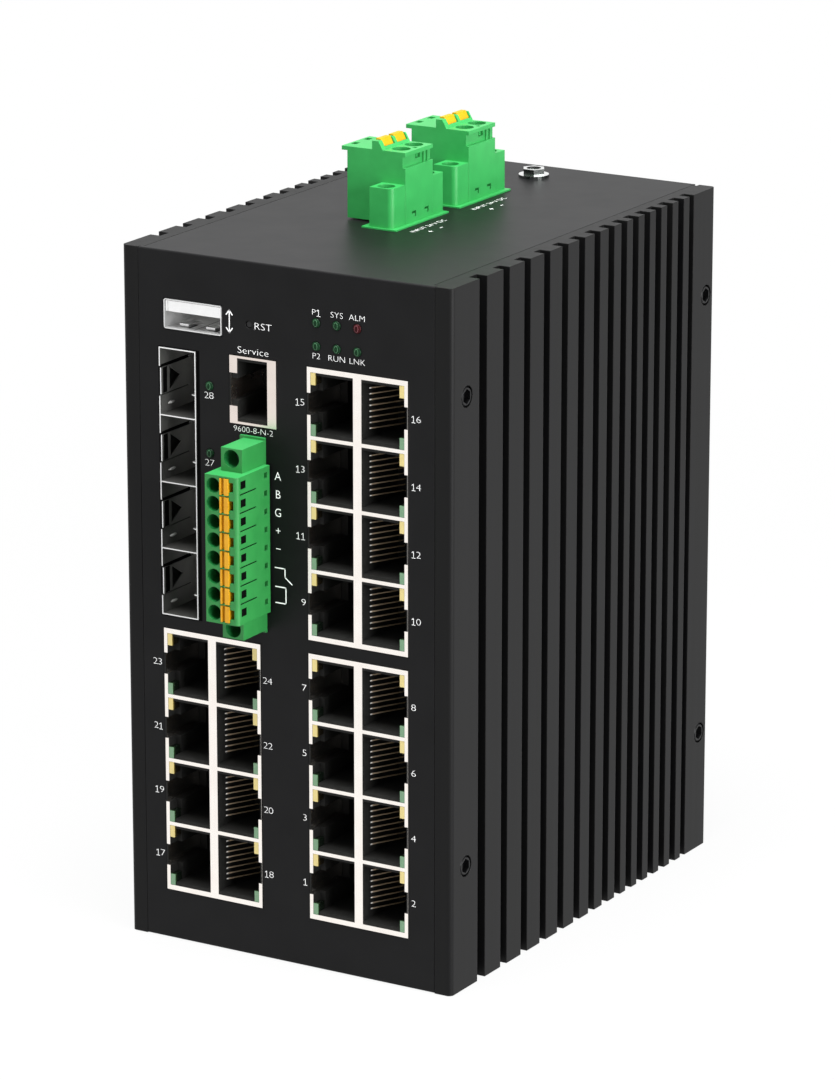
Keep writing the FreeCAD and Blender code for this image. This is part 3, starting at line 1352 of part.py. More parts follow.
def boards():
    side_board("main_board", main_board_x)
    side_board("port_board", port_board_x)
    middle = block("io_board_plate", io_board_x, "board_front", "board_low", "board_gauge",
                   "%s - board_front" % link_front, "%s - board_low" % io_board_top)
    node(group("io_board", [middle]))
    link = block("link_board_plate", "cage_x", link_front, "link_z", "%s - cage_x" % port_board_x,
                 "board_gauge", "link_height")
    node(group("link_board", [link]))


def board_fixings():
    """Hex posts between the side boards and the heat sinks, with the screw heads on the boards."""
    posts = []
    heads = []
    port_back = port_board_x + " + board_gauge"
    for name, y, z in board_screw_places:
        posts.append(hexagon("main_post_" + name, "sink_thickness", y, z, "post_flats",
                             main_board_x + " - sink_thickness", "x"))
        posts.append(hexagon("port_post_" + name, port_back, y, z, "post_flats",
                             "case_width - sink_thickness - (%s)" % port_back, "x"))
        heads.append(hexagon("main_screw_" + name, "cage_x", y, z, "board_head", "board_head_height", "x"))
        heads.append(hexagon("port_screw_" + name, port_board_x, y, z, "board_head",
                             "board_head_height", "-x"))
    node(group("board_posts", posts))
    node(group("board_screws", heads))


def chips():
    main_back = main_board_x + " - chip_gauge"
    port_back = port_board_x + " + board_gauge"
    switch = block("switch_chip_case", main_back, "chip_y - chip_width / 2", "chip_z - chip_width / 2",
                   "chip_gauge", "chip_width", "chip_width")
    dies = [switch]
    pads = [block("switch_chip_pad", "sink_thickness", "chip_y - chip_width / 2", "chip_z - chip_width / 2",
                  main_back + " - sink_thickness", "chip_width", "chip_width")]
    for name, z in (("lower", "chip_z - port_chip_gap / 2"), ("upper", "chip_z + port_chip_gap / 2")):
        y = "chip_y - port_chip_width / 2"
        low = z + " - port_chip_width / 2"
        dies.append(block(name + "_port_chip", port_back, y, low,
                          "chip_gauge", "port_chip_width", "port_chip_width"))
        pads.append(block(name + "_port_pad", port_back + " + chip_gauge", y, low,
                          "case_width - sink_thickness - (%s + chip_gauge)" % port_back,
                          "port_chip_width", "port_chip_width"))
    node(group("board_chips", dies))
    node(group("thermal_pads", pads))


def power_parts():
    converter = block("power_converter_case", io_right, "converter_y", "converter_z",
                      "converter_height", "converter_length", "converter_width")
    node(group("power_converter", [converter]))
    relay = block("alarm_relay_case", io_board_x + " - relay_width", "chip_y - relay_length / 2", "chip_z",
                  "relay_width", "relay_length", "relay_height")
    node(group("alarm_relay", [relay]))


# Rail clip

clip_face = "case_depth + clip_plate"
clip_floor = "rail_z - rail_height / 2 - rail_play"
clip_ceiling = "rail_z + rail_height / 2 + spring_room"
clip_screw_places = [
    ("left", "case_width / 2 - clip_screw_x", "rail_z - clip_screw_z"),
    ("right", "case_width / 2 + clip_screw_x", "rail_z - clip_screw_z"),
    ("upper", "case_width / 2", "rail_z + clip_screw_z"),
]


def rail_clip():
    clip = body("rail_clip")
    throat = clip_face + " + rail_lip"
    back = throat + " + clip_tip"
    low_tip = clip_floor + " + lower_tip"
    high_tip = "rail_z + rail_height / 2 - upper_tip"
    section = sketch(clip, "YZ_Plane", "(case_width - clip_width) / 2")
    outline(section, [("case_depth", clip_floor + " - clip_jaw"), (back, clip_floor + " - clip_jaw"),
                      (back, low_tip), (throat, low_tip), (throat, clip_floor), (clip_face, clip_floor),
                      (clip_face, clip_ceiling), (throat, clip_ceiling), (throat, high_tip), (back, high_tip),
                      (back, clip_ceiling + " + clip_jaw"), ("case_depth", clip_ceiling + " + clip_jaw")])
    pad(clip, section, "clip_width")
    node(clip)
    screws = [hexagon("clip_screw_" + name, x, clip_face, z, "clip_head", "clip_head_height", "y")
              for name, x, z in clip_screw_places]
    node(group("rail_clip_screws", screws))


def clip_spring():
    """A bowed strip in the upper jaw that presses on the rail's upper lip."""
    spring = body("rail_clip_spring")
    middle = "case_width / 2"
    left = middle + " - spring_length / 2"
    right = middle + " + spring_length / 2"
    flat_left = middle + " - spring_flat / 2"
    flat_right = middle + " + spring_flat / 2"
    low = clip_ceiling + " - spring_bow"
    strip = sketch(spring, "XZ_Plane", clip_face + " + slip")
    outline(strip, [(left, clip_ceiling + " - spring_gauge"), (flat_left, low),
                    (flat_right, low), (right, clip_ceiling + " - spring_gauge"), (right, clip_ceiling),
                    (flat_right, low + " + spring_gauge"), (flat_left, low + " + spring_gauge"),
                    (left, clip_ceiling)])
    pad(spring, strip, "rail_lip - 2 * slip")
    node(spring)


def check(pieces):
    for item in doc.Objects:
        if "Invalid" in item.State or "Error" in item.State:
            raise RuntimeError("%s could not be built" % item.Label)
    for piece in pieces:
        shape = piece.Shape
        if shape.isNull() or not shape.isValid() or not shape.Solids:
            raise RuntimeError("%s has no sound solid" % piece.Label)


def write(pieces):
    os.makedirs("parts", exist_ok=True)
    for piece in pieces:
        piece.Shape.exportStep("parts/%s.step" % piece.Label)
        print(piece.Label, len(piece.Shape.Solids), round(piece.Shape.Volume, 2))


def main():
    front_wrap()
    rear_panel()
    heat_sinks()
    side_screws()
    jacks()
    module_cage()
    service_socket()
    reset_button()
    lights()
    terminal_blocks()
    ground_screw()
    boards()
    board_fixings()
    chips()
    power_parts()
    rail_clip()
    clip_spring()
    doc.recompute()
    check(nodes)
    write(nodes)


main()
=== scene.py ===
import math
import bmesh
import bpy
from mathutils import Matrix, Vector


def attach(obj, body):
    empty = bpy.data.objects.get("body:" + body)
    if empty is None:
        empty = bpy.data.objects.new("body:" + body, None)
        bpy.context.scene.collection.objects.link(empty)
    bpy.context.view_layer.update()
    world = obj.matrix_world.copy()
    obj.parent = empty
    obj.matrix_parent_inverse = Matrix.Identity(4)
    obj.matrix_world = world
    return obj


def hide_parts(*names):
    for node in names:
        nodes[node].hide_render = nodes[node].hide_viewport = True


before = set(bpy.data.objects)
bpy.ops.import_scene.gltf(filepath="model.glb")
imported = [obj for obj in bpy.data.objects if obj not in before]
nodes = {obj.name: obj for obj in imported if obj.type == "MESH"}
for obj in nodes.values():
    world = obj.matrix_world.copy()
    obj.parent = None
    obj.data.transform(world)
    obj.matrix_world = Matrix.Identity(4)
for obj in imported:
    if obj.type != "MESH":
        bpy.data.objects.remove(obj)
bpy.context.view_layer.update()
caseBody = "case"
print("frame loaded:", len(nodes), "nodes")

# places are measured in mm from the case's lower front left corner, as on a drawing of its front
caseSize = {"width": 78.0, "depth": 111.0, "height": 148.0}


def spot(x, y, z):
    return Vector((x - caseSize["width"] / 2, y - caseSize["depth"] / 2, z)) / 1000


def hexColour(code):
    # an sRGB hex code as linear colour
    channels = [int(code[i:i + 2], 16) / 255 for i in (1, 3, 5)]
    return tuple(c / 12.92 if c <= 0.04045 else ((c + 0.055) / 1.055) ** 2.4 for c in channels) + (1.0,)


def perMm(size):
    return 1000.0 / size  # texture repeats per metre for a feature this many mm wide


def addNode(tree, kind, settings=None, links=None):
    node = tree.nodes.new(kind)
    for name, setting in (settings or {}).items():
        if isinstance(name, str) and hasattr(node, name):
            setattr(node, name, setting)
        else:
            node.inputs[name].default_value = setting
    for name, source in (links or {}).items():
        tree.links.new(source, node.inputs[name])
    return node


def startMaterial(name, settings):
    material = bpy.data.materials.new(name)
    material.use_nodes = True
    tree = material.node_tree
    shader = tree.nodes["Principled BSDF"]
    for socket, setting in settings.items():
        shader.inputs[socket].default_value = setting
    place = addNode(tree, "ShaderNodeTexCoord")
    return material, tree, shader, place.outputs["Object"]


# for all finishes: noise detail, where the two tones set in, the grain's height as a share of its size,
# and how squarely a face looks along an axis when its painted light or shade starts and is full
shadeLook = {"coarse": 3.0, "fine": 2.0, "tones": (0.3, 0.7), "relief": 0.125,
             "edgeSamples": 4, "face": (0.6, 0.8)}


def faceTones(tree, colour, faces):
    # painted light and shade by facing: faces that look along an axis get a tone of their own, such as a
    # bright cut edge, a darker floor, the bright top of a screw
    starts, full = shadeLook["face"]
    for axis, sign, tone in faces:
        surface = addNode(tree, "ShaderNodeNewGeometry")
        way = addNode(tree, "ShaderNodeSeparateXYZ", {}, {0: surface.outputs["True Normal"]})
        share = addNode(tree, "ShaderNodeMapRange", {"From Min": starts * sign, "From Max": full * sign},
                        {"Value": way.outputs[axis]})
        # sockets 6 and 7 of a mix are its two colours
        colour = addNode(tree, "ShaderNodeMix", {"data_type": "RGBA", 7: hexColour(tone)},
                         {0: share.outputs[0], 6: colour}).outputs[2]
    return colour


def mottle(tree, shader, place, look):
    # two tones blended by a noise, a little roughness change, and a fine bump
    # moulded and plated grain is really under 0.1 mm, and is drawn coarser so that it shows
    stretch = addNode(tree, "ShaderNodeMapping", {"Scale": look.get("stretch", (1, 1, 1))},
                      {"Vector": place})
    coarse = addNode(tree, "ShaderNodeTexNoise",
                     {"Scale": perMm(look["patch"]), "Detail": shadeLook["coarse"]},
                     {"Vector": stretch.outputs[0]})
    tones = addNode(tree, "ShaderNodeValToRGB", {}, {"Fac": coarse.outputs[0]})
    for stop, position, tone in zip(tones.color_ramp.elements, shadeLook["tones"], ("dark", "light")):
        stop.position = position
        stop.color = hexColour(look[tone])
    colour = faceTones(tree, tones.outputs[0], look.get("faces", ()))
    tree.links.new(colour, shader.inputs["Base Color"])
    shine = addNode(tree, "ShaderNodeMapRange", {"To Min": look["rough"][0], "To Max": look["rough"][1]},
                    {"Value": coarse.outputs[0]})
    tree.links.new(shine.outputs[0], shader.inputs["Roughness"])
    fine = addNode(tree, "ShaderNodeTexNoise",
                   {"Scale": perMm(look["grain"]), "Detail": shadeLook["fine"]},
                   {"Vector": stretch.outputs[0]})
    height = look["grain"] * shadeLook["relief"] / 1000
    relief = addNode(tree, "ShaderNodeBump", {"Strength": look["bump"], "Distance": height},
                     {"Height": fine.outputs[0]})
    if look.get("edge"):
        # rounds the moulded or folded edge so that it catches light
        soft = addNode(tree, "ShaderNodeBevel", {"samples": shadeLook["edgeSamples"],
                                                 "Radius": look["edge"] / 1000})
        tree.links.new(soft.outputs[0], relief.inputs["Normal"])
    tree.links.new(relief.outputs[0], shader.inputs["Normal"])


def makeMaterial(name, settings, look):
    material, tree, shader, place = startMaterial(name, settings)
    mottle(tree, shader, place, look)
    return material


# polyester powder coat, sprayed and baked on steel: near black, low sheen, a faint orange peel
powderCoat = makeMaterial("powder_coat_black", {"IOR": 1.5, "Specular IOR Level": 0.145}, {
    "dark": "#0c0c0d", "light": "#101011", "patch": 9.0, "rough": (0.4, 0.48),
    "grain": 0.7, "bump": 0.1, "edge": 0.3})  # real peel is near 0.3 mm, drawn coarser to show

# anodised aluminium, extruded then dyed black: grey black with fine lines along the extrusion
anodised = makeMaterial("anodised_aluminium_black", {"IOR": 1.5, "Specular IOR Level": 0.17}, {
    "dark": "#060607", "light": "#090909", "patch": 2.0, "stretch": (1, 1, 0.02), "rough": (0.42, 0.52),
    "grain": 0.5, "bump": 0.08, "edge": 0.25})  # real lines are under 0.1 mm wide, drawn coarser to show

# nickel plate on stamped copper alloy: bright, warm white, slightly satin
nickelPlate = makeMaterial("nickel_plate_satin", {"Metallic": 1.0}, {
    "dark": "#e6dad2", "light": "#ede2da", "patch": 4.0, "rough": (0.22, 0.34),
    "grain": 0.6, "bump": 0.04})

# the same plate on the big jack blocks, polished: a shade whiter
nickelPolished = makeMaterial("nickel_plate_polished", {"Metallic": 1.0}, {
    "dark": "#fbf4ed", "light": "#fffaf4", "patch": 4.0, "rough": (0.16, 0.24),
    "grain": 0.6, "bump": 0.03})

# zinc plated steel, bright with a cool tint
zincSteel = makeMaterial("zinc_plated_steel", {"Metallic": 1.0}, {
    "dark": "#b4b8ba", "light": "#d3d6d7", "patch": 1.5, "rough": (0.15, 0.25),
    "grain": 0.4, "bump": 0.05})

# blackened steel of the side screws, oily black with a soft glint
blackOxide = makeMaterial("black_oxide_steel", {"Metallic": 0.3, "Specular IOR Level": 0.2}, {
    "dark": "#0e0e0f", "light": "#141415", "patch": 0.8, "rough": (0.3, 0.4),
    "grain": 0.4, "bump": 0.05})

# glass filled polyester, moulded: deep black, matt; the same black paints the shade in the jacks' latch
# notches and the socket's cut-outs
blackPbt = makeMaterial("glass_filled_polyester_black", {"IOR": 1.5, "Specular IOR Level": 0.12}, {
    "dark": "#1a1a19", "light": "#212120", "patch": 1.2, "rough": (0.45, 0.6),
    "grain": 0.4, "bump": 0.06})

# acetal of the reset pin: dark grey, hardly told from the panel round it
greyAcetal = makeMaterial("acetal_dark_grey", {"IOR": 1.48, "Specular IOR Level": 0.3}, {
    "dark": "#19191a", "light": "#1f1f20", "patch": 0.6, "rough": (0.35, 0.45),
    "grain": 0.3, "bump": 0.03})

# bright tin on the service socket, neutral white
brightTin = makeMaterial("bright_tin_plate", {"Metallic": 1.0}, {
    "dark": "#f2f2f2", "light": "#fafafa", "patch": 3.0, "rough": (0.2, 0.3),
    "grain": 0.5, "bump": 0.03})

# tin plated copper of clamps and pins
tinPlate = makeMaterial("tin_plate", {"Metallic": 1.0}, {
    "dark": "#a9a49b", "light": "#c2beb6", "patch": 1.0, "rough": (0.28, 0.4),
    "grain": 0.3, "bump": 0.05})


def fadeMaterial(name, settings, look):
    # painted shade and light: colour that changes with the depth behind the front panel, for pieces that
    # reach into a dark hole
    material, tree, shader, place = startMaterial(name, settings)
    axes = addNode(tree, "ShaderNodeSeparateXYZ", {}, {0: place})
    front = spot(0, look["front"], 0).y
    back = front + look["reach"] / 1000
    depth = addNode(tree, "ShaderNodeMapRange", {"From Min": front, "From Max": back},
                    {"Value": axes.outputs["Y"]})
    tones = addNode(tree, "ShaderNodeValToRGB", {}, {"Fac": depth.outputs[0]})
    ramp = tones.color_ramp.elements
    ramp.remove(ramp[1])
    for index, (position, colour) in enumerate(look["stops"]):
        stop = ramp[0] if index == 0 else ramp.new(position)
        stop.position = position
        stop.color = hexColour(colour)
    grain = addNode(tree, "ShaderNodeTexNoise",
                    {"Scale": perMm(look["grain"]), "Detail": shadeLook["fine"]},
                    {"Vector": place})
    shade = addNode(tree, "ShaderNodeMapRange", {"To Min": look["tone"][0], "To Max": look["tone"][1]},
                    {"Value": grain.outputs[0]})
    toned = addNode(tree, "ShaderNodeVectorMath", {"operation": "SCALE"},
                    {0: tones.outputs[0], "Scale": shade.outputs[0]})
    colour = faceTones(tree, toned.outputs[0], look.get("faces", ()))
    tree.links.new(colour, shader.inputs["Base Color"])
    shine = addNode(tree, "ShaderNodeMapRange", {"To Min": look["rough"][0], "To Max": look["rough"][1]},
                    {"Value": grain.outputs[0]})
    tree.links.new(shine.outputs[0], shader.inputs["Roughness"])
    return material


# stamped spring steel of the module cage, with painted light: a painted highlight on the front-facing cut
# edges, painted shade on the bay floors, and a grey that pales with depth
cageSteel = fadeMaterial("tinned_spring_steel_painted_light", {"Metallic": 0.2, "Specular IOR Level": 0.3}, {
    "front": -0.15, "reach": 14.0, "grain": 2.0, "tone": (0.92, 1.08), "rough": (0.38, 0.5),
    "stops": [(0.0, "#484846"), (0.25, "#60605e"), (0.5, "#8c8c89"), (0.85, "#c0c0bc")],
    "faces": [("Y", -1, "#dedede"), ("Z", 1, "#3c3c3a")]})

# drawn shell of the service socket, with painted light: a painted highlight on the front-facing lip, and
# walls and floor that pale with depth
socketTin = fadeMaterial("tin_plate_drawn_painted_light", {"Metallic": 0.2}, {
    "front": -0.15, "reach": 12.0, "grain": 2.0, "tone": (0.95, 1.05), "rough": (0.4, 0.5),
    "stops": [(0.0, "#868686"), (0.3, "#c0c0c0"), (0.6, "#f4f4f4")], "faces": [("Y", -1, "#cfcfcf")]})

# zinc on the ground screw: grey, with a painted highlight on the faces that look up
zincPaintedTopLight = fadeMaterial("zinc_plate_painted_top_light", {"Metallic": 1.0}, {
    "front": 0.0, "reach": 1.0, "grain": 0.8, "tone": (0.9, 1.1), "rough": (0.16, 0.26),
    "stops": [(0.0, "#6a6e6c")], "faces": [("Z", 1, "#eef0ef")]})

# gold flashed phosphor bronze wire: a painted highlight on the bend at the front, then brown wire with
# painted shade deepening away from the front
bronzeWire = fadeMaterial("phosphor_bronze_gold_flash_painted_light", {"Metallic": 0.45}, {
    "front": 3.0, "reach": 8.0, "grain": 0.6, "tone": (0.9, 1.1), "rough": (0.25, 0.4),
    "stops": [(0.0, "#ffffff"), (0.035, "#f7f1e8"), (0.07, "#b8a288"), (1.0, "#8c7a5c")]})

# clear tinted polycarbonate light guides, with painted shade: the front face is bright and the colour
# darkens back into the housing
yellowLens = fadeMaterial("polycarbonate_yellow_painted_shade", {"IOR": 1.58}, {
    "front": -0.12, "reach": 2.0, "grain": 0.5, "tone": (0.94, 1.06), "rough": (0.2, 0.3),
    "stops": [(0.0, "#cfbd7b"), (0.03, "#c4b06c"), (0.08, "#5e5122"), (0.4, "#14110a")]})
greenLens = fadeMaterial("polycarbonate_green_painted_shade", {"IOR": 1.58}, {
    "front": -0.12, "reach": 2.0, "grain": 0.5, "tone": (0.94, 1.06), "rough": (0.2, 0.3),
    "stops": [(0.0, "#678b6b"), (0.03, "#5c7f60"), (0.08, "#23391f"), (0.4, "#0a110b")]})

# tinted epoxy lamps, unlit: nearly black glass; the pale oval in the shape of the chip's cup is a painted
# glint laid over the dome
greenLamp = makeMaterial("epoxy_green", {"IOR": 1.55, "Specular IOR Level": 0.06}, {
    "dark": "#0d2415", "light": "#14341e", "patch": 0.8, "rough": (0.25, 0.35), "grain": 0.3, "bump": 0.02})
redLamp = makeMaterial("epoxy_red", {"IOR": 1.55, "Specular IOR Level": 0.06}, {
    "dark": "#280a0c", "light": "#360f12", "patch": 0.8, "rough": (0.25, 0.35), "grain": 0.3, "bump": 0.02})
greenGlint = makeMaterial("lamp_glint_green", {"IOR": 1.55, "Specular IOR Level": 0.1}, {
    "dark": "#325a3c", "light": "#52785c", "patch": 0.4, "rough": (0.3, 0.4), "grain": 0.3, "bump": 0.02})
redGlint = makeMaterial("lamp_glint_red", {"IOR": 1.55, "Specular IOR Level": 0.1}, {
    "dark": "#5c3238", "light": "#7c4a50", "patch": 0.4, "rough": (0.3, 0.4), "grain": 0.3, "bump": 0.02})

# moulded polyamide of the terminal blocks: clear mid green, satin skin
greenPolyamide = makeMaterial("polyamide_green", {"IOR": 1.5, "Specular IOR Level": 0.4}, {
    "dark": "#289045", "light": "#2e984b", "patch": 3.0, "rough": (0.38, 0.48),
    "grain": 0.5, "bump": 0.04, "edge": 0.12})

# the signal plug's polyamide, a darker copy as painted shade, with a painted highlight on the faces that
# look up
shadedSignalPolyamide = makeMaterial("polyamide_green_painted_shade_and_top_light", {"IOR": 1.5, "Specular IOR Level": 0.4}, {
    "dark": "#237536", "light": "#287d3b", "patch": 3.0, "rough": (0.38, 0.48),
    "grain": 0.5, "bump": 0.04, "edge": 0.12, "faces": [("Z", 1, "#2f904a")]})

# moulded polyamide of the release buttons: warm orange yellow
orangePolyamide = makeMaterial("polyamide_orange", {"IOR": 1.5, "Specular IOR Level": 0.4}, {
    "dark": "#c88e0c", "light": "#d29a14", "patch": 2.0, "rough": (0.38, 0.48),
    "grain": 0.4, "bump": 0.04, "edge": 0.1})

# a darker copy of the orange for the power plugs' buttons: painted shade that offsets the ceiling light
# they lie open to
shadedOrange = makeMaterial("polyamide_orange_painted_shade", {"IOR": 1.5, "Specular IOR Level": 0.12}, {
    "dark": "#b0880e", "light": "#ba9216", "patch": 2.0, "rough": (0.4, 0.5),
    "grain": 0.4, "bump": 0.04, "edge": 0.1})

# liquid crystal polymer of the socket tongue: flat bright white
whiteLcp = makeMaterial("liquid_crystal_polymer_white", {"IOR": 1.5}, {
    "dark": "#ececea", "light": "#f6f6f4", "patch": 1.5, "rough": (0.4, 0.5), "grain": 0.4, "bump": 0.04})

# glass epoxy board under black solder mask: satin with the weave just showing
solderMask = makeMaterial("glass_epoxy_solder_mask", {"IOR": 1.5}, {
    "dark": "#0b0d0c", "light": "#101311", "patch": 1.0, "rough": (0.3, 0.4), "grain": 0.5, "bump": 0.08})

# moulded epoxy of the chips, dark grey and matt
chipEpoxy = makeMaterial("moulded_epoxy_grey", {"IOR": 1.5}, {
    "dark": "#1c1c1d", "light": "#242425", "patch": 1.0, "rough": (0.5, 0.6), "grain": 0.3, "bump": 0.06})

# filled silicone pads, soft blue grey
siliconePad = makeMaterial("filled_silicone_pad", {"IOR": 1.42}, {
    "dark": "#6d7786", "light": "#7d8796", "patch": 2.0, "rough": (0.7, 0.8), "grain": 0.6, "bump": 0.1})

# the same polyamide deep in a hole, where little light comes back
shadedPolyamide = makeMaterial("polyamide_green_shaded", {"IOR": 1.5, "Specular IOR Level": 0.1}, {
    "dark": "#18632e", "light": "#1d6f36", "patch": 2.0, "rough": (0.5, 0.6), "grain": 0.5, "bump": 0.03})

# charcoal black and dead matt, all of it painted shade:
# in the gap round the cage, at the catch tongues' bends and slits, and in the plug's side windows and
# grooves
paintedShadeBlack = makeMaterial("painted_shade_black", {"IOR": 1.4, "Specular IOR Level": 0.05}, {
    "dark": "#030303", "light": "#060606", "patch": 0.5, "rough": (0.8, 0.9), "grain": 0.3, "bump": 0.1})

# satin steel of the pressed stops, painted pale as the glint they catch in the dark bay
stopGlintSteel = makeMaterial("satin_steel_painted_glint", {"Metallic": 0.15}, {
    "dark": "#d2d2d0", "light": "#dcdcda", "patch": 0.6, "rough": (0.3, 0.4), "grain": 0.3, "bump": 0.02})

# screen printed ink, flat white
whiteInk = makeMaterial("screen_print_white", {"IOR": 1.45}, {
    "dark": "#fafafa", "light": "#ffffff", "patch": 0.8, "rough": (0.55, 0.65), "grain": 0.3, "bump": 0.05})

finishes = {
    "front_wrap": powderCoat, "rear_panel": powderCoat,
    "left_heat_sink": anodised, "right_heat_sink": anodised, "rail_clip": anodised,
    "side_screws": blackOxide, "rail_clip_screws": zincSteel, "rail_clip_spring": zincSteel,
    "jack_contacts": bronzeWire, "yellow_lenses": yellowLens, "green_lenses": greenLens,
    "console_shield": nickelPlate, "console_housing": blackPbt,
    "module_cage": cageSteel, "module_sockets": blackPbt,
    "service_socket_shell": socketTin, "service_socket_tongue": whiteLcp,
    "reset_switch": blackPbt, "reset_pin_button": greyAcetal, "light_holders": blackPbt,
    "alarm_light": redLamp, "green_lights": greenLamp,
    "signal_header": shadedSignalPolyamide, "signal_plug": shadedSignalPolyamide, "power_headers": greenPolyamide,
    "first_power_plug": greenPolyamide, "second_power_plug": greenPolyamide,
    "header_pins": tinPlate, "wire_clamps": tinPlate, "ground_screw": zincPaintedTopLight,
    "main_board": solderMask, "port_board": solderMask, "io_board": solderMask, "link_board": solderMask,
    "board_posts": tinPlate, "board_screws": zincSteel, "board_chips": chipEpoxy,
    "thermal_pads": siliconePad, "power_converter": chipEpoxy, "alarm_relay": blackPbt,
}


def finishFor(name):
    if name.endswith("_jack_shield"):
        return nickelPolished
    if name.endswith("_jack_housing"):
        return blackPbt
    if "_power_release_" in name:
        return shadedOrange
    if "_release_" in name:
        return orangePolyamide
    return finishes[name]


for name, piece in nodes.items():
    piece.data.materials.clear()
    piece.data.materials.append(finishFor(name))
print("finishes set")

sharpEdge = math.radians(35)  # smooth faces that meet at more than this keep a sharp edge


def addPiece(name, shape, material, smooth=True):
    # turns a shape into a piece with its finish, which rides on the case
    mesh = bpy.data.meshes.new(name)
    bmesh.ops.recalc_face_normals(shape, faces=shape.faces)
    shape.to_mesh(mesh)
    shape.free()
    for face in mesh.polygons:
        face.use_smooth = smooth
    mesh.set_sharp_from_angle(angle=sharpEdge)
    mesh.materials.append(material)
    piece = bpy.data.objects.new(name, mesh)
    bpy.context.scene.collection.objects.link(piece)
    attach(piece, caseBody)
    return piece


def turns(sides):
    # the angles of a ring's corners
    return [2 * math.pi * side / sides for side in range(sides)]


def joinRings(shape, rings, fillFirst=True, fillLast=True):
    # skins a row of point rings, and closes its ends
    for lower, upper in zip(rings, rings[1:]):
        for index in range(len(lower)):
            after = (index + 1) % len(lower)
            shape.faces.new((lower[index], lower[after], upper[after], upper[index]))
    if fillFirst:
        shape.faces.new(rings[0][::-1])
    if fillLast:
        shape.faces.new(rings[-1])


def lathe(shape, profile, sides, place, facing):
    # spins (radius, height) points in mm about the axis, closes both ends, then sets the piece in place
    rings = []
    for radius, height in profile:
        points = [Vector((radius * math.cos(turn), radius * math.sin(turn), height)) / 1000
                  for turn in turns(sides)]
        rings.append([shape.verts.new(place + facing @ point) for point in points])
    joinRings(shape, rings)


def bentStrip(shape, path, width, gauge, across):
    # a strip of sheet that follows a path of mm points, with its width along the given direction
    half = across.normalized() * width / 2000
    rows = []
    for index, point in enumerate(path):
        before = path[max(index - 1, 0)]
        after = path[min(index + 1, len(path) - 1)]
        normal = (Vector(after) - Vector(before)).cross(across).normalized() * gauge / 1000
        base = spot(*point)
        rows.append([shape.verts.new(corner) for corner in
                     (base - half, base + half, base + half + normal, base - half + normal)])
    joinRings(shape, rows)


def addBox(shape, low, high):
    # a plain block between two corners given in mm
    corners = [shape.verts.new(spot(x, y, z)) for z in (low[2], high[2])
               for x, y in ((low[0], low[1]), (high[0], low[1]), (high[0], high[1]), (low[0], high[1]))]
    for face in ((0, 3, 2, 1), (4, 5, 6, 7), (0, 1, 5, 4), (1, 2, 6, 5), (2, 3, 7, 6), (3, 0, 4, 7)):
        shape.faces.new([corners[index] for index in face])


# which way a turned piece points
toFront = Matrix.Rotation(math.radians(90), 3, "X")
toTop = Matrix.Identity(3)
toLeft = Matrix.Rotation(math.radians(-90), 3, "Y")
toRight = Matrix.Rotation(math.radians(90), 3, "Y")

# screen print on the front and the top, all of it plain numbers and generic marks
# each kind of lettering: height, stretch across, and how much the font's strokes are thinned
printLook = {"lift": 0.02, "number": (2.05, 1.3, 0.045), "word": (2.05, 1.28, 0.035),
             "small": (1.75, 1.16, 0.035), "mark": (2.5, 0.95, 0.02), "line": 0.24, "curveSteps": 3}


def letterMesh(text, look, align):
    size, stretch, thin = look
    curve = bpy.data.curves.new("letters", "FONT")
    curve.body = text
    curve.size = size / 1000
    curve.offset = -thin / 1000
    curve.align_x = align
    curve.align_y = "CENTER"
    curve.resolution_u = printLook["curveSteps"]
    maker = bpy.data.objects.new("letters", curve)
    bpy.context.scene.collection.objects.link(maker)
    mesh = bpy.data.meshes.new_from_object(maker.evaluated_get(bpy.context.evaluated_depsgraph_get()))
    bpy.data.objects.remove(maker)
    mesh.transform(Matrix.Diagonal((stretch, 1, 1, 1)))
    return mesh


def printOn(sheet, text, look, align, place, facing):
    mesh = letterMesh(text, look, align)
    mesh.transform(Matrix.Translation(place) @ facing.to_4x4())
    sheet.from_mesh(mesh)
    bpy.data.meshes.remove(mesh)


def inkLine(sheet, start, end, width):
    # a printed line on the front between two (x, z) places in mm
    along = (Vector(end) - Vector(start)).normalized() * width / 2
    side = Vector((-along.y, along.x))
    corners = [Vector(start) - along - side, Vector(end) + along - side,
               Vector(end) + along + side, Vector(start) - along + side]
    sheet.faces.new([sheet.verts.new(spot(c.x, -printLook["lift"], c.y)) for c in corners])


def frontText(sheet, text, look, x, z, align="CENTER"):
    printOn(sheet, text, printLook[look], align, spot(x, -printLook["lift"], z), toFront)


# numerals are set one by one, and the figure one is drawn with a flag and a foot
figureLook = {"pitch": 1.17, "half": 0.7, "line": 0.13, "flag": (0.36, 0.3), "foot": 0.36}


def frontNumber(sheet, number, x, z, align="CENTER"):
    figures = str(number)
    wide = figureLook["pitch"] * len(figures)
    left = {"LEFT": x, "CENTER": x - wide / 2, "RIGHT": x - wide}[align]
    for index, figure in enumerate(figures):
        middle = left + (index + 0.5) * figureLook["pitch"]
        if figure != "1":
            frontText(sheet, figure, "number", middle, z)
            continue
        top, foot = z + figureLook["half"], z - figureLook["half"]
        flagX, flagZ = middle - figureLook["flag"][0], top - figureLook["flag"][1]
        for start, end in (((middle, foot), (middle, top)), ((middle, top), (flagX, flagZ)),
                           ((middle - figureLook["foot"], foot), (middle + figureLook["foot"], foot))):
            inkLine(sheet, start, end, figureLook["line"])


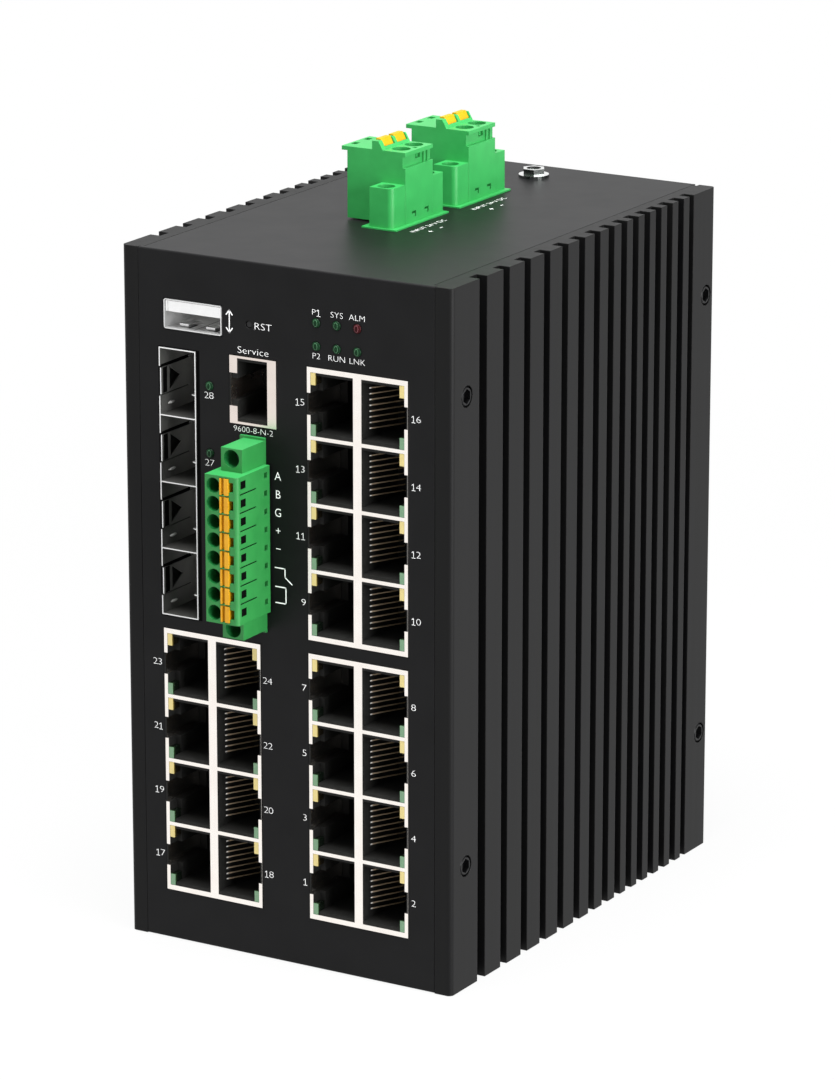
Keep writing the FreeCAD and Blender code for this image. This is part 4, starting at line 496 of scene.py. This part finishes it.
frontPrint = bmesh.new()
portNumbers = {"pitch": 13.97, "lower": 18.45, "upper": 78.55, "rows": 4,
               "right": (43.75, 68.55), "left": (8.6, 33.15)}
for side, level, first in (("right", "lower", 1), ("right", "upper", 9), ("left", "lower", 17)):
    for row in range(portNumbers["rows"]):
        z = portNumbers[level] + row * portNumbers["pitch"]
        odd, even = portNumbers[side]
        frontNumber(frontPrint, first + 2 * row, odd, z, "RIGHT")
        frontNumber(frontPrint, first + 2 * row + 1, even, z, "LEFT")
bayNumbers = {"x": 20.8, "top": 118.95, "pitch": 14.15, "first": 28, "bays": 4}
for bay in range(bayNumbers["bays"]):
    frontNumber(frontPrint, bayNumbers["first"] - bay, bayNumbers["x"],
                bayNumbers["top"] - bay * bayNumbers["pitch"])
frontMarks = {
    "small": [("P", 45.95, 139.4), ("SYS", 51.35, 139.4), ("ALM", 56.1, 139.4),
              ("P2", 46.5, 130.45), ("RUN", 51.3, 130.45), ("LNK", 56.1, 130.45),
              ("9600-8-N-2", 31.4, 112.95)],
    "word": [("RST", 33.9, 134.8), ("Service", 31.5, 129.45)]}
for look, marks in frontMarks.items():
    for text, x, z in marks:
        frontText(frontPrint, text, look, x, z)
firstInput = {"figure": 1, "x": 47.1, "z": 139.4}  # the figure after the first P
frontNumber(frontPrint, firstInput["figure"], firstInput["x"], firstInput["z"])
poleMarks = {"x": 37.2, "top": 104.2, "pitch": 3.83}
for pole, text in enumerate("ABG+\u2212"):
    frontText(frontPrint, text, "mark", poleMarks["x"], poleMarks["top"] - pole * poleMarks["pitch"])
relaySign = [[(36.4, 85.0), (38.75, 85.0), (38.75, 83.2), (40.4, 81.9)],
             [(36.5, 81.0), (38.95, 81.0), (38.95, 77.6), (36.5, 77.6)]]
dataArrow = [[(25.9, 132.8), (25.9, 137.4)], [(25.2, 136.5), (25.9, 137.4), (26.6, 136.5)],
             [(25.2, 133.7), (25.9, 132.8), (26.6, 133.7)]]
for path in relaySign + dataArrow:
    for start, end in zip(path, path[1:]):
        inkLine(frontPrint, start, end, printLook["line"])
addPiece("front_print", frontPrint, whiteInk, smooth=False)

topPrint = bmesh.new()
topMarks = {"along": Matrix.Rotation(math.radians(90), 3, "Z"), "text": "INPUT 24 V DC",
            "x": 45.0, "middle": (46.5, 71.5), "signX": 48.1, "signs": (("+", -4.2), ("\u2212", 0.1))}
for middle in topMarks["middle"]:
    lift = caseSize["height"] + printLook["lift"]
    printOn(topPrint, topMarks["text"], printLook["small"], "CENTER", spot(topMarks["x"], middle, lift),
            topMarks["along"])
    for text, step in topMarks["signs"]:
        printOn(topPrint, text, printLook["mark"], "CENTER", spot(topMarks["signX"], middle + step, lift),
                topMarks["along"])
addPiece("top_print", topPrint, whiteInk, smooth=False)
print("print added")

# domed lamps in the panel's light holes, each with a painted glint in the oval shape of its cup
lampLook = {"radius": 0.95, "bulge": 0.32, "front": 0.1, "sides": 24, "steps": 5,
            "cup": (0.42, 0.68), "rim": 0.065, "lift": 0.012,
            "statusX": (46.5, 51.3, 56.1), "statusZ": (132.5, 137.3), "alarm": (56.1, 137.3),
            "bayX": 20.93, "bayZ": 78.55, "bayPitch": 14.15, "bays": 4}
lampPlaces = [(x, z) for z in lampLook["statusZ"] for x in lampLook["statusX"]]
lampPlaces += [(lampLook["bayX"], lampLook["bayZ"] + lampLook["bayPitch"] * bay)
               for bay in range(lampLook["bays"])]


def lampDome(shape, x, z):
    profile = [(lampLook["radius"], 0.0)]
    for step in range(1, lampLook["steps"]):
        rise = math.pi / 2 * step / lampLook["steps"]
        profile.append((lampLook["radius"] * math.cos(rise), lampLook["bulge"] * math.sin(rise)))
    lathe(shape, profile, lampLook["sides"], spot(x, -lampLook["front"], z), toFront)


def cupRim(shape, x, z):
    # a painted glint: an oval band laid just over the dome
    rings = []
    for grow in (-lampLook["rim"], lampLook["rim"]):
        ring = []
        for turn in turns(lampLook["sides"]):
            across = (lampLook["cup"][0] + grow) * math.cos(turn)
            up = (lampLook["cup"][1] + grow) * math.sin(turn)
            fall = max(0.0, 1 - (across ** 2 + up ** 2) / lampLook["radius"] ** 2)
            height = lampLook["front"] + lampLook["bulge"] * math.sqrt(fall) + lampLook["lift"]
            ring.append(shape.verts.new(spot(x + across, -height, z + up)))
        rings.append(ring)
    joinRings(shape, rings, fillFirst=False, fillLast=False)


greenDomes, greenGlints, redDome, redGlints = (bmesh.new() for count in range(4))
for x, z in lampPlaces:
    alarm = (x, z) == lampLook["alarm"]
    lampDome(redDome if alarm else greenDomes, x, z)
    cupRim(redGlints if alarm else greenGlints, x, z)
addPiece("green_lamp_domes", greenDomes, greenLamp)
addPiece("red_lamp_dome", redDome, redLamp)
addPiece("green_lamp_glints", greenGlints, greenGlint)
addPiece("red_lamp_glint", redGlints, redGlint)

# side screws: a bevelled head in each well, with the hexagon for the key
keyScrew = {"head": 2.25, "bevel": 0.5, "drop": 0.6, "sink": 0.03, "flats": 2.7, "deep": 1.3, "seat": 1.58,
            "sides": 36, "y": (5.8, 107.2), "z": (26.5, 125.0)}


def keyRadius(turn):
    # from the middle to the hexagon's wall, at this angle
    return keyScrew["flats"] / 2 / math.cos(turn % (math.pi / 3) - math.pi / 6)


def keyHead(shape, place, facing):
    around = turns(keyScrew["sides"])
    key = [keyRadius(turn) for turn in around]
    head = [keyScrew["head"]] * len(around)
    crown = [keyScrew["head"] - keyScrew["bevel"]] * len(around)
    rings = []
    for radii, depth in ((head, keyScrew["seat"]), (head, keyScrew["drop"]), (crown, keyScrew["sink"]),
                         (key, keyScrew["sink"]), (key, keyScrew["deep"])):
        points = [Vector((radius * math.cos(turn), radius * math.sin(turn), -depth)) / 1000
                  for radius, turn in zip(radii, around)]
        rings.append([shape.verts.new(place + facing @ point) for point in points])
    joinRings(shape, rings)


keyScrews = bmesh.new()
for y in keyScrew["y"]:
    for z in keyScrew["z"]:
        keyHead(keyScrews, spot(0, y, z), toLeft)
        keyHead(keyScrews, spot(caseSize["width"], y, z), toRight)
sideScrews = addPiece("side_screw_heads", keyScrews, blackOxide)
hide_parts("side_screws")

# slotted flange screws in the wells of the plugs' ears
slotScrew = {"head": 1.7, "height": 1.6, "edge": 0.2, "slot": 0.5, "deep": 0.7, "sides": 28, "arc": 12,
             "signal": {"x": 31.9, "y": -3.6, "z": (73.6, 109.3)},
             "power": {"x": 38.25, "y": (40.9, 56.75, 66.8, 82.65), "z": 151.35}}


def slottedHead(shape, place, facing):
    # two half heads stand on one disc, so the slot between them is open
    disc = slotScrew["height"] - slotScrew["deep"]
    lathe(shape, [(slotScrew["head"], 0.0), (slotScrew["head"], disc)], slotScrew["sides"], place, facing)
    for way in (1, -1):
        outline = []
        reach = math.acos(slotScrew["slot"] / 2 / slotScrew["head"])
        for step in range(slotScrew["arc"] + 1):
            turn = way * (math.pi / 2) - reach + 2 * reach * step / slotScrew["arc"]
            outline.append((slotScrew["head"] * math.cos(turn), slotScrew["head"] * math.sin(turn)))
        top = slotScrew["height"]
        shoulder = [(x, y, top - slotScrew["edge"]) for x, y in outline]
        inner = 1 - slotScrew["edge"] / slotScrew["head"]
        crown = [(x * inner, way * slotScrew["slot"] / 2 + (y - way * slotScrew["slot"] / 2) * inner, top)
                 for x, y in outline]
        rows = [[(x, y, disc) for x, y in outline], shoulder, crown]
        joinRings(shape, [[shape.verts.new(place + facing @ (Vector(point) / 1000)) for point in row]
                          for row in rows])


flangeScrews = bmesh.new()
for z in slotScrew["signal"]["z"]:
    slottedHead(flangeScrews, spot(slotScrew["signal"]["x"], slotScrew["signal"]["y"], z), toFront)
for y in slotScrew["power"]["y"]:
    slottedHead(flangeScrews, spot(slotScrew["power"]["x"], y, slotScrew["power"]["z"]), toTop)
addPiece("flange_screw_heads", flangeScrews, zincSteel)

# painted shade in the signal plug's wire holes and screw wells: an open tube of shaded green lining each
holeShadeLook = {"wires": {"x": 29.85, "front": -12.69, "radius": 1.53, "deep": 8.1, "sides": 32},
              "wells": {"x": 31.9, "front": -8.99, "radius": 1.77, "deep": 5.3, "sides": 32},
              "first": 77.715, "pitch": 3.81, "poles": 8}


def openTube(shape, look, z):
    rings = []
    for y in (look["front"], look["front"] + look["deep"]):
        rings.append([shape.verts.new(spot(look["x"] + look["radius"] * math.cos(turn), y,
                                           z + look["radius"] * math.sin(turn)))
                      for turn in turns(look["sides"])])
    joinRings(shape, rings, fillFirst=False, fillLast=False)


holeShades = bmesh.new()
for pole in range(holeShadeLook["poles"]):
    openTube(holeShades, holeShadeLook["wires"], holeShadeLook["first"] + pole * holeShadeLook["pitch"])
for z in slotScrew["signal"]["z"]:
    openTube(holeShades, holeShadeLook["wells"], z)
addPiece("plug_hole_shades", holeShades, shadedPolyamide)

# painted shade: thin dark plates over the plug's side windows, and in the grooves between its poles
sideShadeLook = {"side": 35.6, "thick": 0.012, "rise": 0.4, "windowY": (-11.5, -9.65), "window": 1.6,
             "grooveY": (-11.85, -5.95), "groove": 0.17}


def sideShade(shape, span, middle, height):
    # a thin dark plate of painted shade on the plug's right side
    addBox(shape, (sideShadeLook["side"], span[0], middle - height / 2),
           (sideShadeLook["side"] + sideShadeLook["thick"], span[1], middle + height / 2))


windowShades = bmesh.new()
for pole in range(holeShadeLook["poles"]):
    middle = holeShadeLook["first"] + pole * holeShadeLook["pitch"] + sideShadeLook["rise"]
    sideShade(windowShades, sideShadeLook["windowY"], middle, sideShadeLook["window"])
    if pole < holeShadeLook["poles"] - 1:  # no groove above the last pole
        sideShade(windowShades, sideShadeLook["grooveY"], middle + holeShadeLook["pitch"] / 2, sideShadeLook["groove"])
addPiece("window_and_groove_shades", windowShades, paintedShadeBlack, smooth=False)
print("lamps, screws and plug details added")

# jacks: clear caps on the light guides, and black plates of painted shade over the latch notches at the
# outside
# on the right of each block a hair of the shield's edge stays bare
jackLook = {"blocks": ((44.35, 10.8), (44.35, 70.9), (9.15, 10.8)), "width": 23.55, "frame": 0.8, "rows": 4,
            "pitch": 13.97, "firstLow": 1.045, "port": 13.2,
            "cap": 1.08, "capY": (-0.12, 0.29), "fit": 0.05, "yellow": 2.6, "green": 2.4,
            "lip": 0.32, "lipY": (-0.165, -0.065), "latch": 4.6, "over": 0.01, "bare": 0.04}
consoleLook = {"x": 25.9, "middle": 121.125, "latch": 6.9}
yellowCaps, greenCaps, notchShades = (bmesh.new() for count in range(3))


def latchLip(shape, left, middle, height):
    addBox(shape, (left, jackLook["lipY"][0], middle - height / 2),
           (left + jackLook["lip"], jackLook["lipY"][1], middle + height / 2))


def lensCap(shape, left, low, high):
    addBox(shape, (left, jackLook["capY"][0], low), (left + jackLook["cap"], jackLook["capY"][1], high))


for blockX, blockZ in jackLook["blocks"]:
    right = blockX + jackLook["width"]
    for row in range(jackLook["rows"]):
        low = blockZ + jackLook["firstLow"] + row * jackLook["pitch"]
        high = low + jackLook["port"]
        for left in (blockX + jackLook["frame"] + jackLook["fit"],
                     right - jackLook["frame"] - jackLook["fit"] - jackLook["cap"]):
            lensCap(yellowCaps, left, high - jackLook["yellow"], high - jackLook["fit"])
            lensCap(greenCaps, left, low + jackLook["fit"], low + jackLook["green"])
        for left in (blockX - jackLook["over"], right - jackLook["lip"] - jackLook["bare"]):
            latchLip(notchShades, left, (low + high) / 2, jackLook["latch"])
latchLip(notchShades, consoleLook["x"] - jackLook["over"], consoleLook["middle"], consoleLook["latch"])
addPiece("yellow_lens_caps", yellowCaps, yellowLens, smooth=False)
addPiece("green_lens_caps", greenCaps, greenLens, smooth=False)
addPiece("latch_notch_shades", notchShades, blackPbt, smooth=False)
print("jack details added")

# service socket: plated cap on the tongue, two spring fingers, their cut-outs drawn as black plates of
# painted shade, and the floor's dark seam
# root and tip are (y, height over the floor) of a finger's ends, a rise is a span of heights over the floor
socketLook = {"left": 10.45, "right": 23.75, "groove": (10.95, 11.12),
              "capY": (0.1, 0.28), "capZ": (135.4, 137.6),
              "floor": 132.02, "fingers": (13.8, 20.2), "width": 2.1, "gauge": 0.2,
              "root": (7.0, 0.05), "tip": (2.1, 0.45), "lipY": (1.85, 2.05), "lipRise": (0.2, 0.68),
              "cutout": (0.05, 0.6), "cutoutY": (1.5, 4.5), "seam": (17.1, 17.22), "seamY": (0.3, 11.0),
              "shadeRise": (0.01, 0.03)}


def onFloor(shape, spanX, spanY, rise):
    # a block over the socket's floor
    addBox(shape, (spanX[0], spanY[0], socketLook["floor"] + rise[0]),
           (spanX[1], spanY[1], socketLook["floor"] + rise[1]))


socketSprings, socketShades = (bmesh.new() for count in range(2))
capEdges = (socketLook["left"], *socketLook["groove"], socketLook["right"])
for left, right in (capEdges[:2], capEdges[2:]):
    addBox(socketSprings, (left, socketLook["capY"][0], socketLook["capZ"][0]),
           (right, socketLook["capY"][1], socketLook["capZ"][1]))
for middle in socketLook["fingers"]:
    path = [(middle, y, socketLook["floor"] + rise) for y, rise in (socketLook["root"], socketLook["tip"])]
    bentStrip(socketSprings, path, socketLook["width"], socketLook["gauge"], Vector((1, 0, 0)))
    left, right = middle - socketLook["width"] / 2, middle + socketLook["width"] / 2
    onFloor(socketSprings, (left, right), socketLook["lipY"], socketLook["lipRise"])
    onFloor(socketShades, [right + step for step in socketLook["cutout"]], socketLook["cutoutY"],
            socketLook["shadeRise"])
onFloor(socketShades, socketLook["seam"], socketLook["seamY"], socketLook["shadeRise"])
addPiece("socket_springs", socketSprings, brightTin)
addPiece("socket_cutout_shades_and_seam", socketShades, blackPbt, smooth=False)

# module cage: pressed stops in the walls of each bay, painted shade at the bends and slits of the catch
# tongues, and a black strip of painted shade in the gap round it
cageLook = {"first": 78.1, "pitch": 14.15, "bays": 4, "wall": 9.05, "far": 17.45, "tongue": 9.33,
            "stop": (1.25, 0.32, 0.28), "stopY": 3.95, "stopDrop": 5.3,
            "farStop": (0.7, 0.35, 1.3), "farY": 0.8, "farDrop": 2.1,
            "ramp": (0.5, 2.0), "rampHalf": 2.7, "slit": (2.8, 3.4), "slitY": (0.1, 10.4), "shade": 0.02,
            "steps": 5, "sides": 20}
gapShadeLook = {"side": ((17.74, 0.1, 70.75), (18.16, 1.1, 128.0)),
              "top": ((8.7, 0.1, 127.8), (18.16, 1.1, 128.0)),
              "lip": ((18.16, -0.04, 70.75), (18.56, 0.0, 128.0))}


def pressedStop(shape, x, y, z, size, way):
    # a low oval bump on a wall: half length along Y, half height along Z, and how far it stands off
    rings = []
    for step in range(cageLook["steps"]):
        rise = math.pi / 2 * step / cageLook["steps"]
        rings.append([shape.verts.new(spot(x + way * size[2] * math.sin(rise),
                                           y + size[0] * math.cos(rise) * math.cos(turn),
                                           z + size[1] * math.cos(rise) * math.sin(turn)))
                      for turn in turns(cageLook["sides"])])
    joinRings(shape, rings, fillFirst=False)


cageStops, farStops, tongueShades = (bmesh.new() for count in range(3))
for bay in range(cageLook["bays"]):
    middle = cageLook["first"] + bay * cageLook["pitch"]
    pressedStop(cageStops, cageLook["wall"], cageLook["stopY"], middle - cageLook["stopDrop"],
                cageLook["stop"], 1)
    pressedStop(farStops, cageLook["far"], cageLook["farY"], middle - cageLook["farDrop"],
                cageLook["farStop"], -1)
    addBox(tongueShades, (cageLook["tongue"], cageLook["ramp"][0], middle - cageLook["rampHalf"]),
           (cageLook["tongue"] + cageLook["shade"], cageLook["ramp"][1], middle + cageLook["rampHalf"]))
    addBox(tongueShades, (cageLook["wall"], cageLook["slitY"][0], middle + cageLook["slit"][0]),
           (cageLook["wall"] + cageLook["shade"], cageLook["slitY"][1], middle + cageLook["slit"][1]))
addPiece("cage_stops", cageStops, stopGlintSteel)
addPiece("cage_springs", farStops, cageSteel)
addPiece("tongue_and_slit_shades", tongueShades, paintedShadeBlack, smooth=False)
gapShade = bmesh.new()
for low, high in gapShadeLook.values():
    addBox(gapShade, low, high)
addPiece("cage_gap_shade", gapShade, paintedShadeBlack, smooth=False)
print("socket and cage details added")

# floor: white where it is seen, with a soft shadow close to the object
floorLook = {"half": 3.0, "drop": 0.0002, "colour": "#bcbcbc", "rough": 0.9, "glow": 1.0,
             "near": 0.12, "far": 0.45, "shadow": 0.92}


def seenRays(tree):
    # 1 where the camera sees the white stage, also in metal or through glass
    # 0 where the stage only lights the object
    rays = addNode(tree, "ShaderNodeLightPath")
    seen = addNode(tree, "ShaderNodeMath", {"operation": "MAXIMUM"},
                   {0: rays.outputs["Is Camera Ray"], 1: rays.outputs["Is Glossy Ray"]})
    through = addNode(tree, "ShaderNodeMath", {"operation": "MAXIMUM"},
                      {0: seen.outputs[0], 1: rays.outputs["Is Transmission Ray"]})
    return through.outputs[0]


floorMesh = bpy.data.meshes.new("floor")
half = floorLook["half"]
floorCorners = [(-half, -half, 0), (half, -half, 0), (half, half, 0), (-half, half, 0)]
floorMesh.from_pydata(floorCorners, [], [(0, 1, 2, 3)])
floor = bpy.data.objects.new("floor", floorMesh)
floor.location.z = -floorLook["drop"]
bpy.context.scene.collection.objects.link(floor)
floorPaint, tree, shader, place = startMaterial("studio_floor_white", {
    "Base Color": hexColour(floorLook["colour"]), "Roughness": floorLook["rough"]})
away = addNode(tree, "ShaderNodeVectorMath", {"operation": "LENGTH"}, {0: place})
plain = addNode(tree, "ShaderNodeMapRange",
                {"From Min": floorLook["near"], "From Max": floorLook["far"],
                 "To Min": floorLook["shadow"]}, {"Value": away.outputs["Value"]})
share = addNode(tree, "ShaderNodeMath", {"operation": "MULTIPLY"}, {0: seenRays(tree), 1: plain.outputs[0]})
glow = addNode(tree, "ShaderNodeEmission", {"Strength": floorLook["glow"]})
blend = addNode(tree, "ShaderNodeMixShader", {},
                {0: share.outputs[0], 1: shader.outputs[0], 2: glow.outputs[0]})
tree.links.new(blend.outputs[0], tree.nodes["Material Output"].inputs["Surface"])
floorMesh.materials.append(floorPaint)

# white surround, and two soft lamps
skyLook = {"lights": 0.4, "seen": 1.0}
world = bpy.data.worlds.new("studio")
bpy.context.scene.world = world
world.use_nodes = True
tree = world.node_tree
strength = addNode(tree, "ShaderNodeMapRange", {"To Min": skyLook["lights"], "To Max": skyLook["seen"]},
                   {"Value": seenRays(tree)})
sky = tree.nodes["Background"]
sky.inputs["Color"].default_value = (1, 1, 1, 1)
tree.links.new(strength.outputs[0], sky.inputs["Strength"])

lampAim = Vector((0, 0, 0.075))  # half way up the case
lamps = [
    {"name": "ceiling_softbox", "place": (0.05, -0.16, 0.9), "size": 0.4, "power": 15.0},
    {"name": "right_softbox", "place": (0.95, -0.2, 0.2), "size": 0.7, "power": 19.0},
]
for lamp in lamps:
    light = bpy.data.lights.new(lamp["name"], "AREA")
    light.size = lamp["size"]
    light.energy = lamp["power"]
    holder = bpy.data.objects.new(lamp["name"], light)
    holder.location = lamp["place"]
    aim = lampAim - Vector(lamp["place"])
    holder.rotation_euler = aim.to_track_quat("-Z", "Y").to_euler()
    bpy.context.scene.collection.objects.link(holder)

# camera at the photograph's viewing angle, for a picture of 835 x 1080
cameraLook = {"place": (0.5424, -0.9135, 0.3827), "turn": 30.794, "tilt": 16.03,
              "lens": 173.68, "sensor": 36.0}
camera = bpy.data.cameras.new("camera")
camera.sensor_fit = "VERTICAL"
camera.sensor_height = cameraLook["sensor"]
camera.lens = cameraLook["lens"]
viewer = bpy.data.objects.new("camera", camera)
viewer.location = cameraLook["place"]
viewer.rotation_euler = (math.radians(90 - cameraLook["tilt"]), 0, math.radians(cameraLook["turn"]))
bpy.context.scene.collection.objects.link(viewer)
bpy.context.scene.camera = viewer
bpy.context.scene.view_settings.view_transform = "Standard"
print("stage, lamps and camera set")
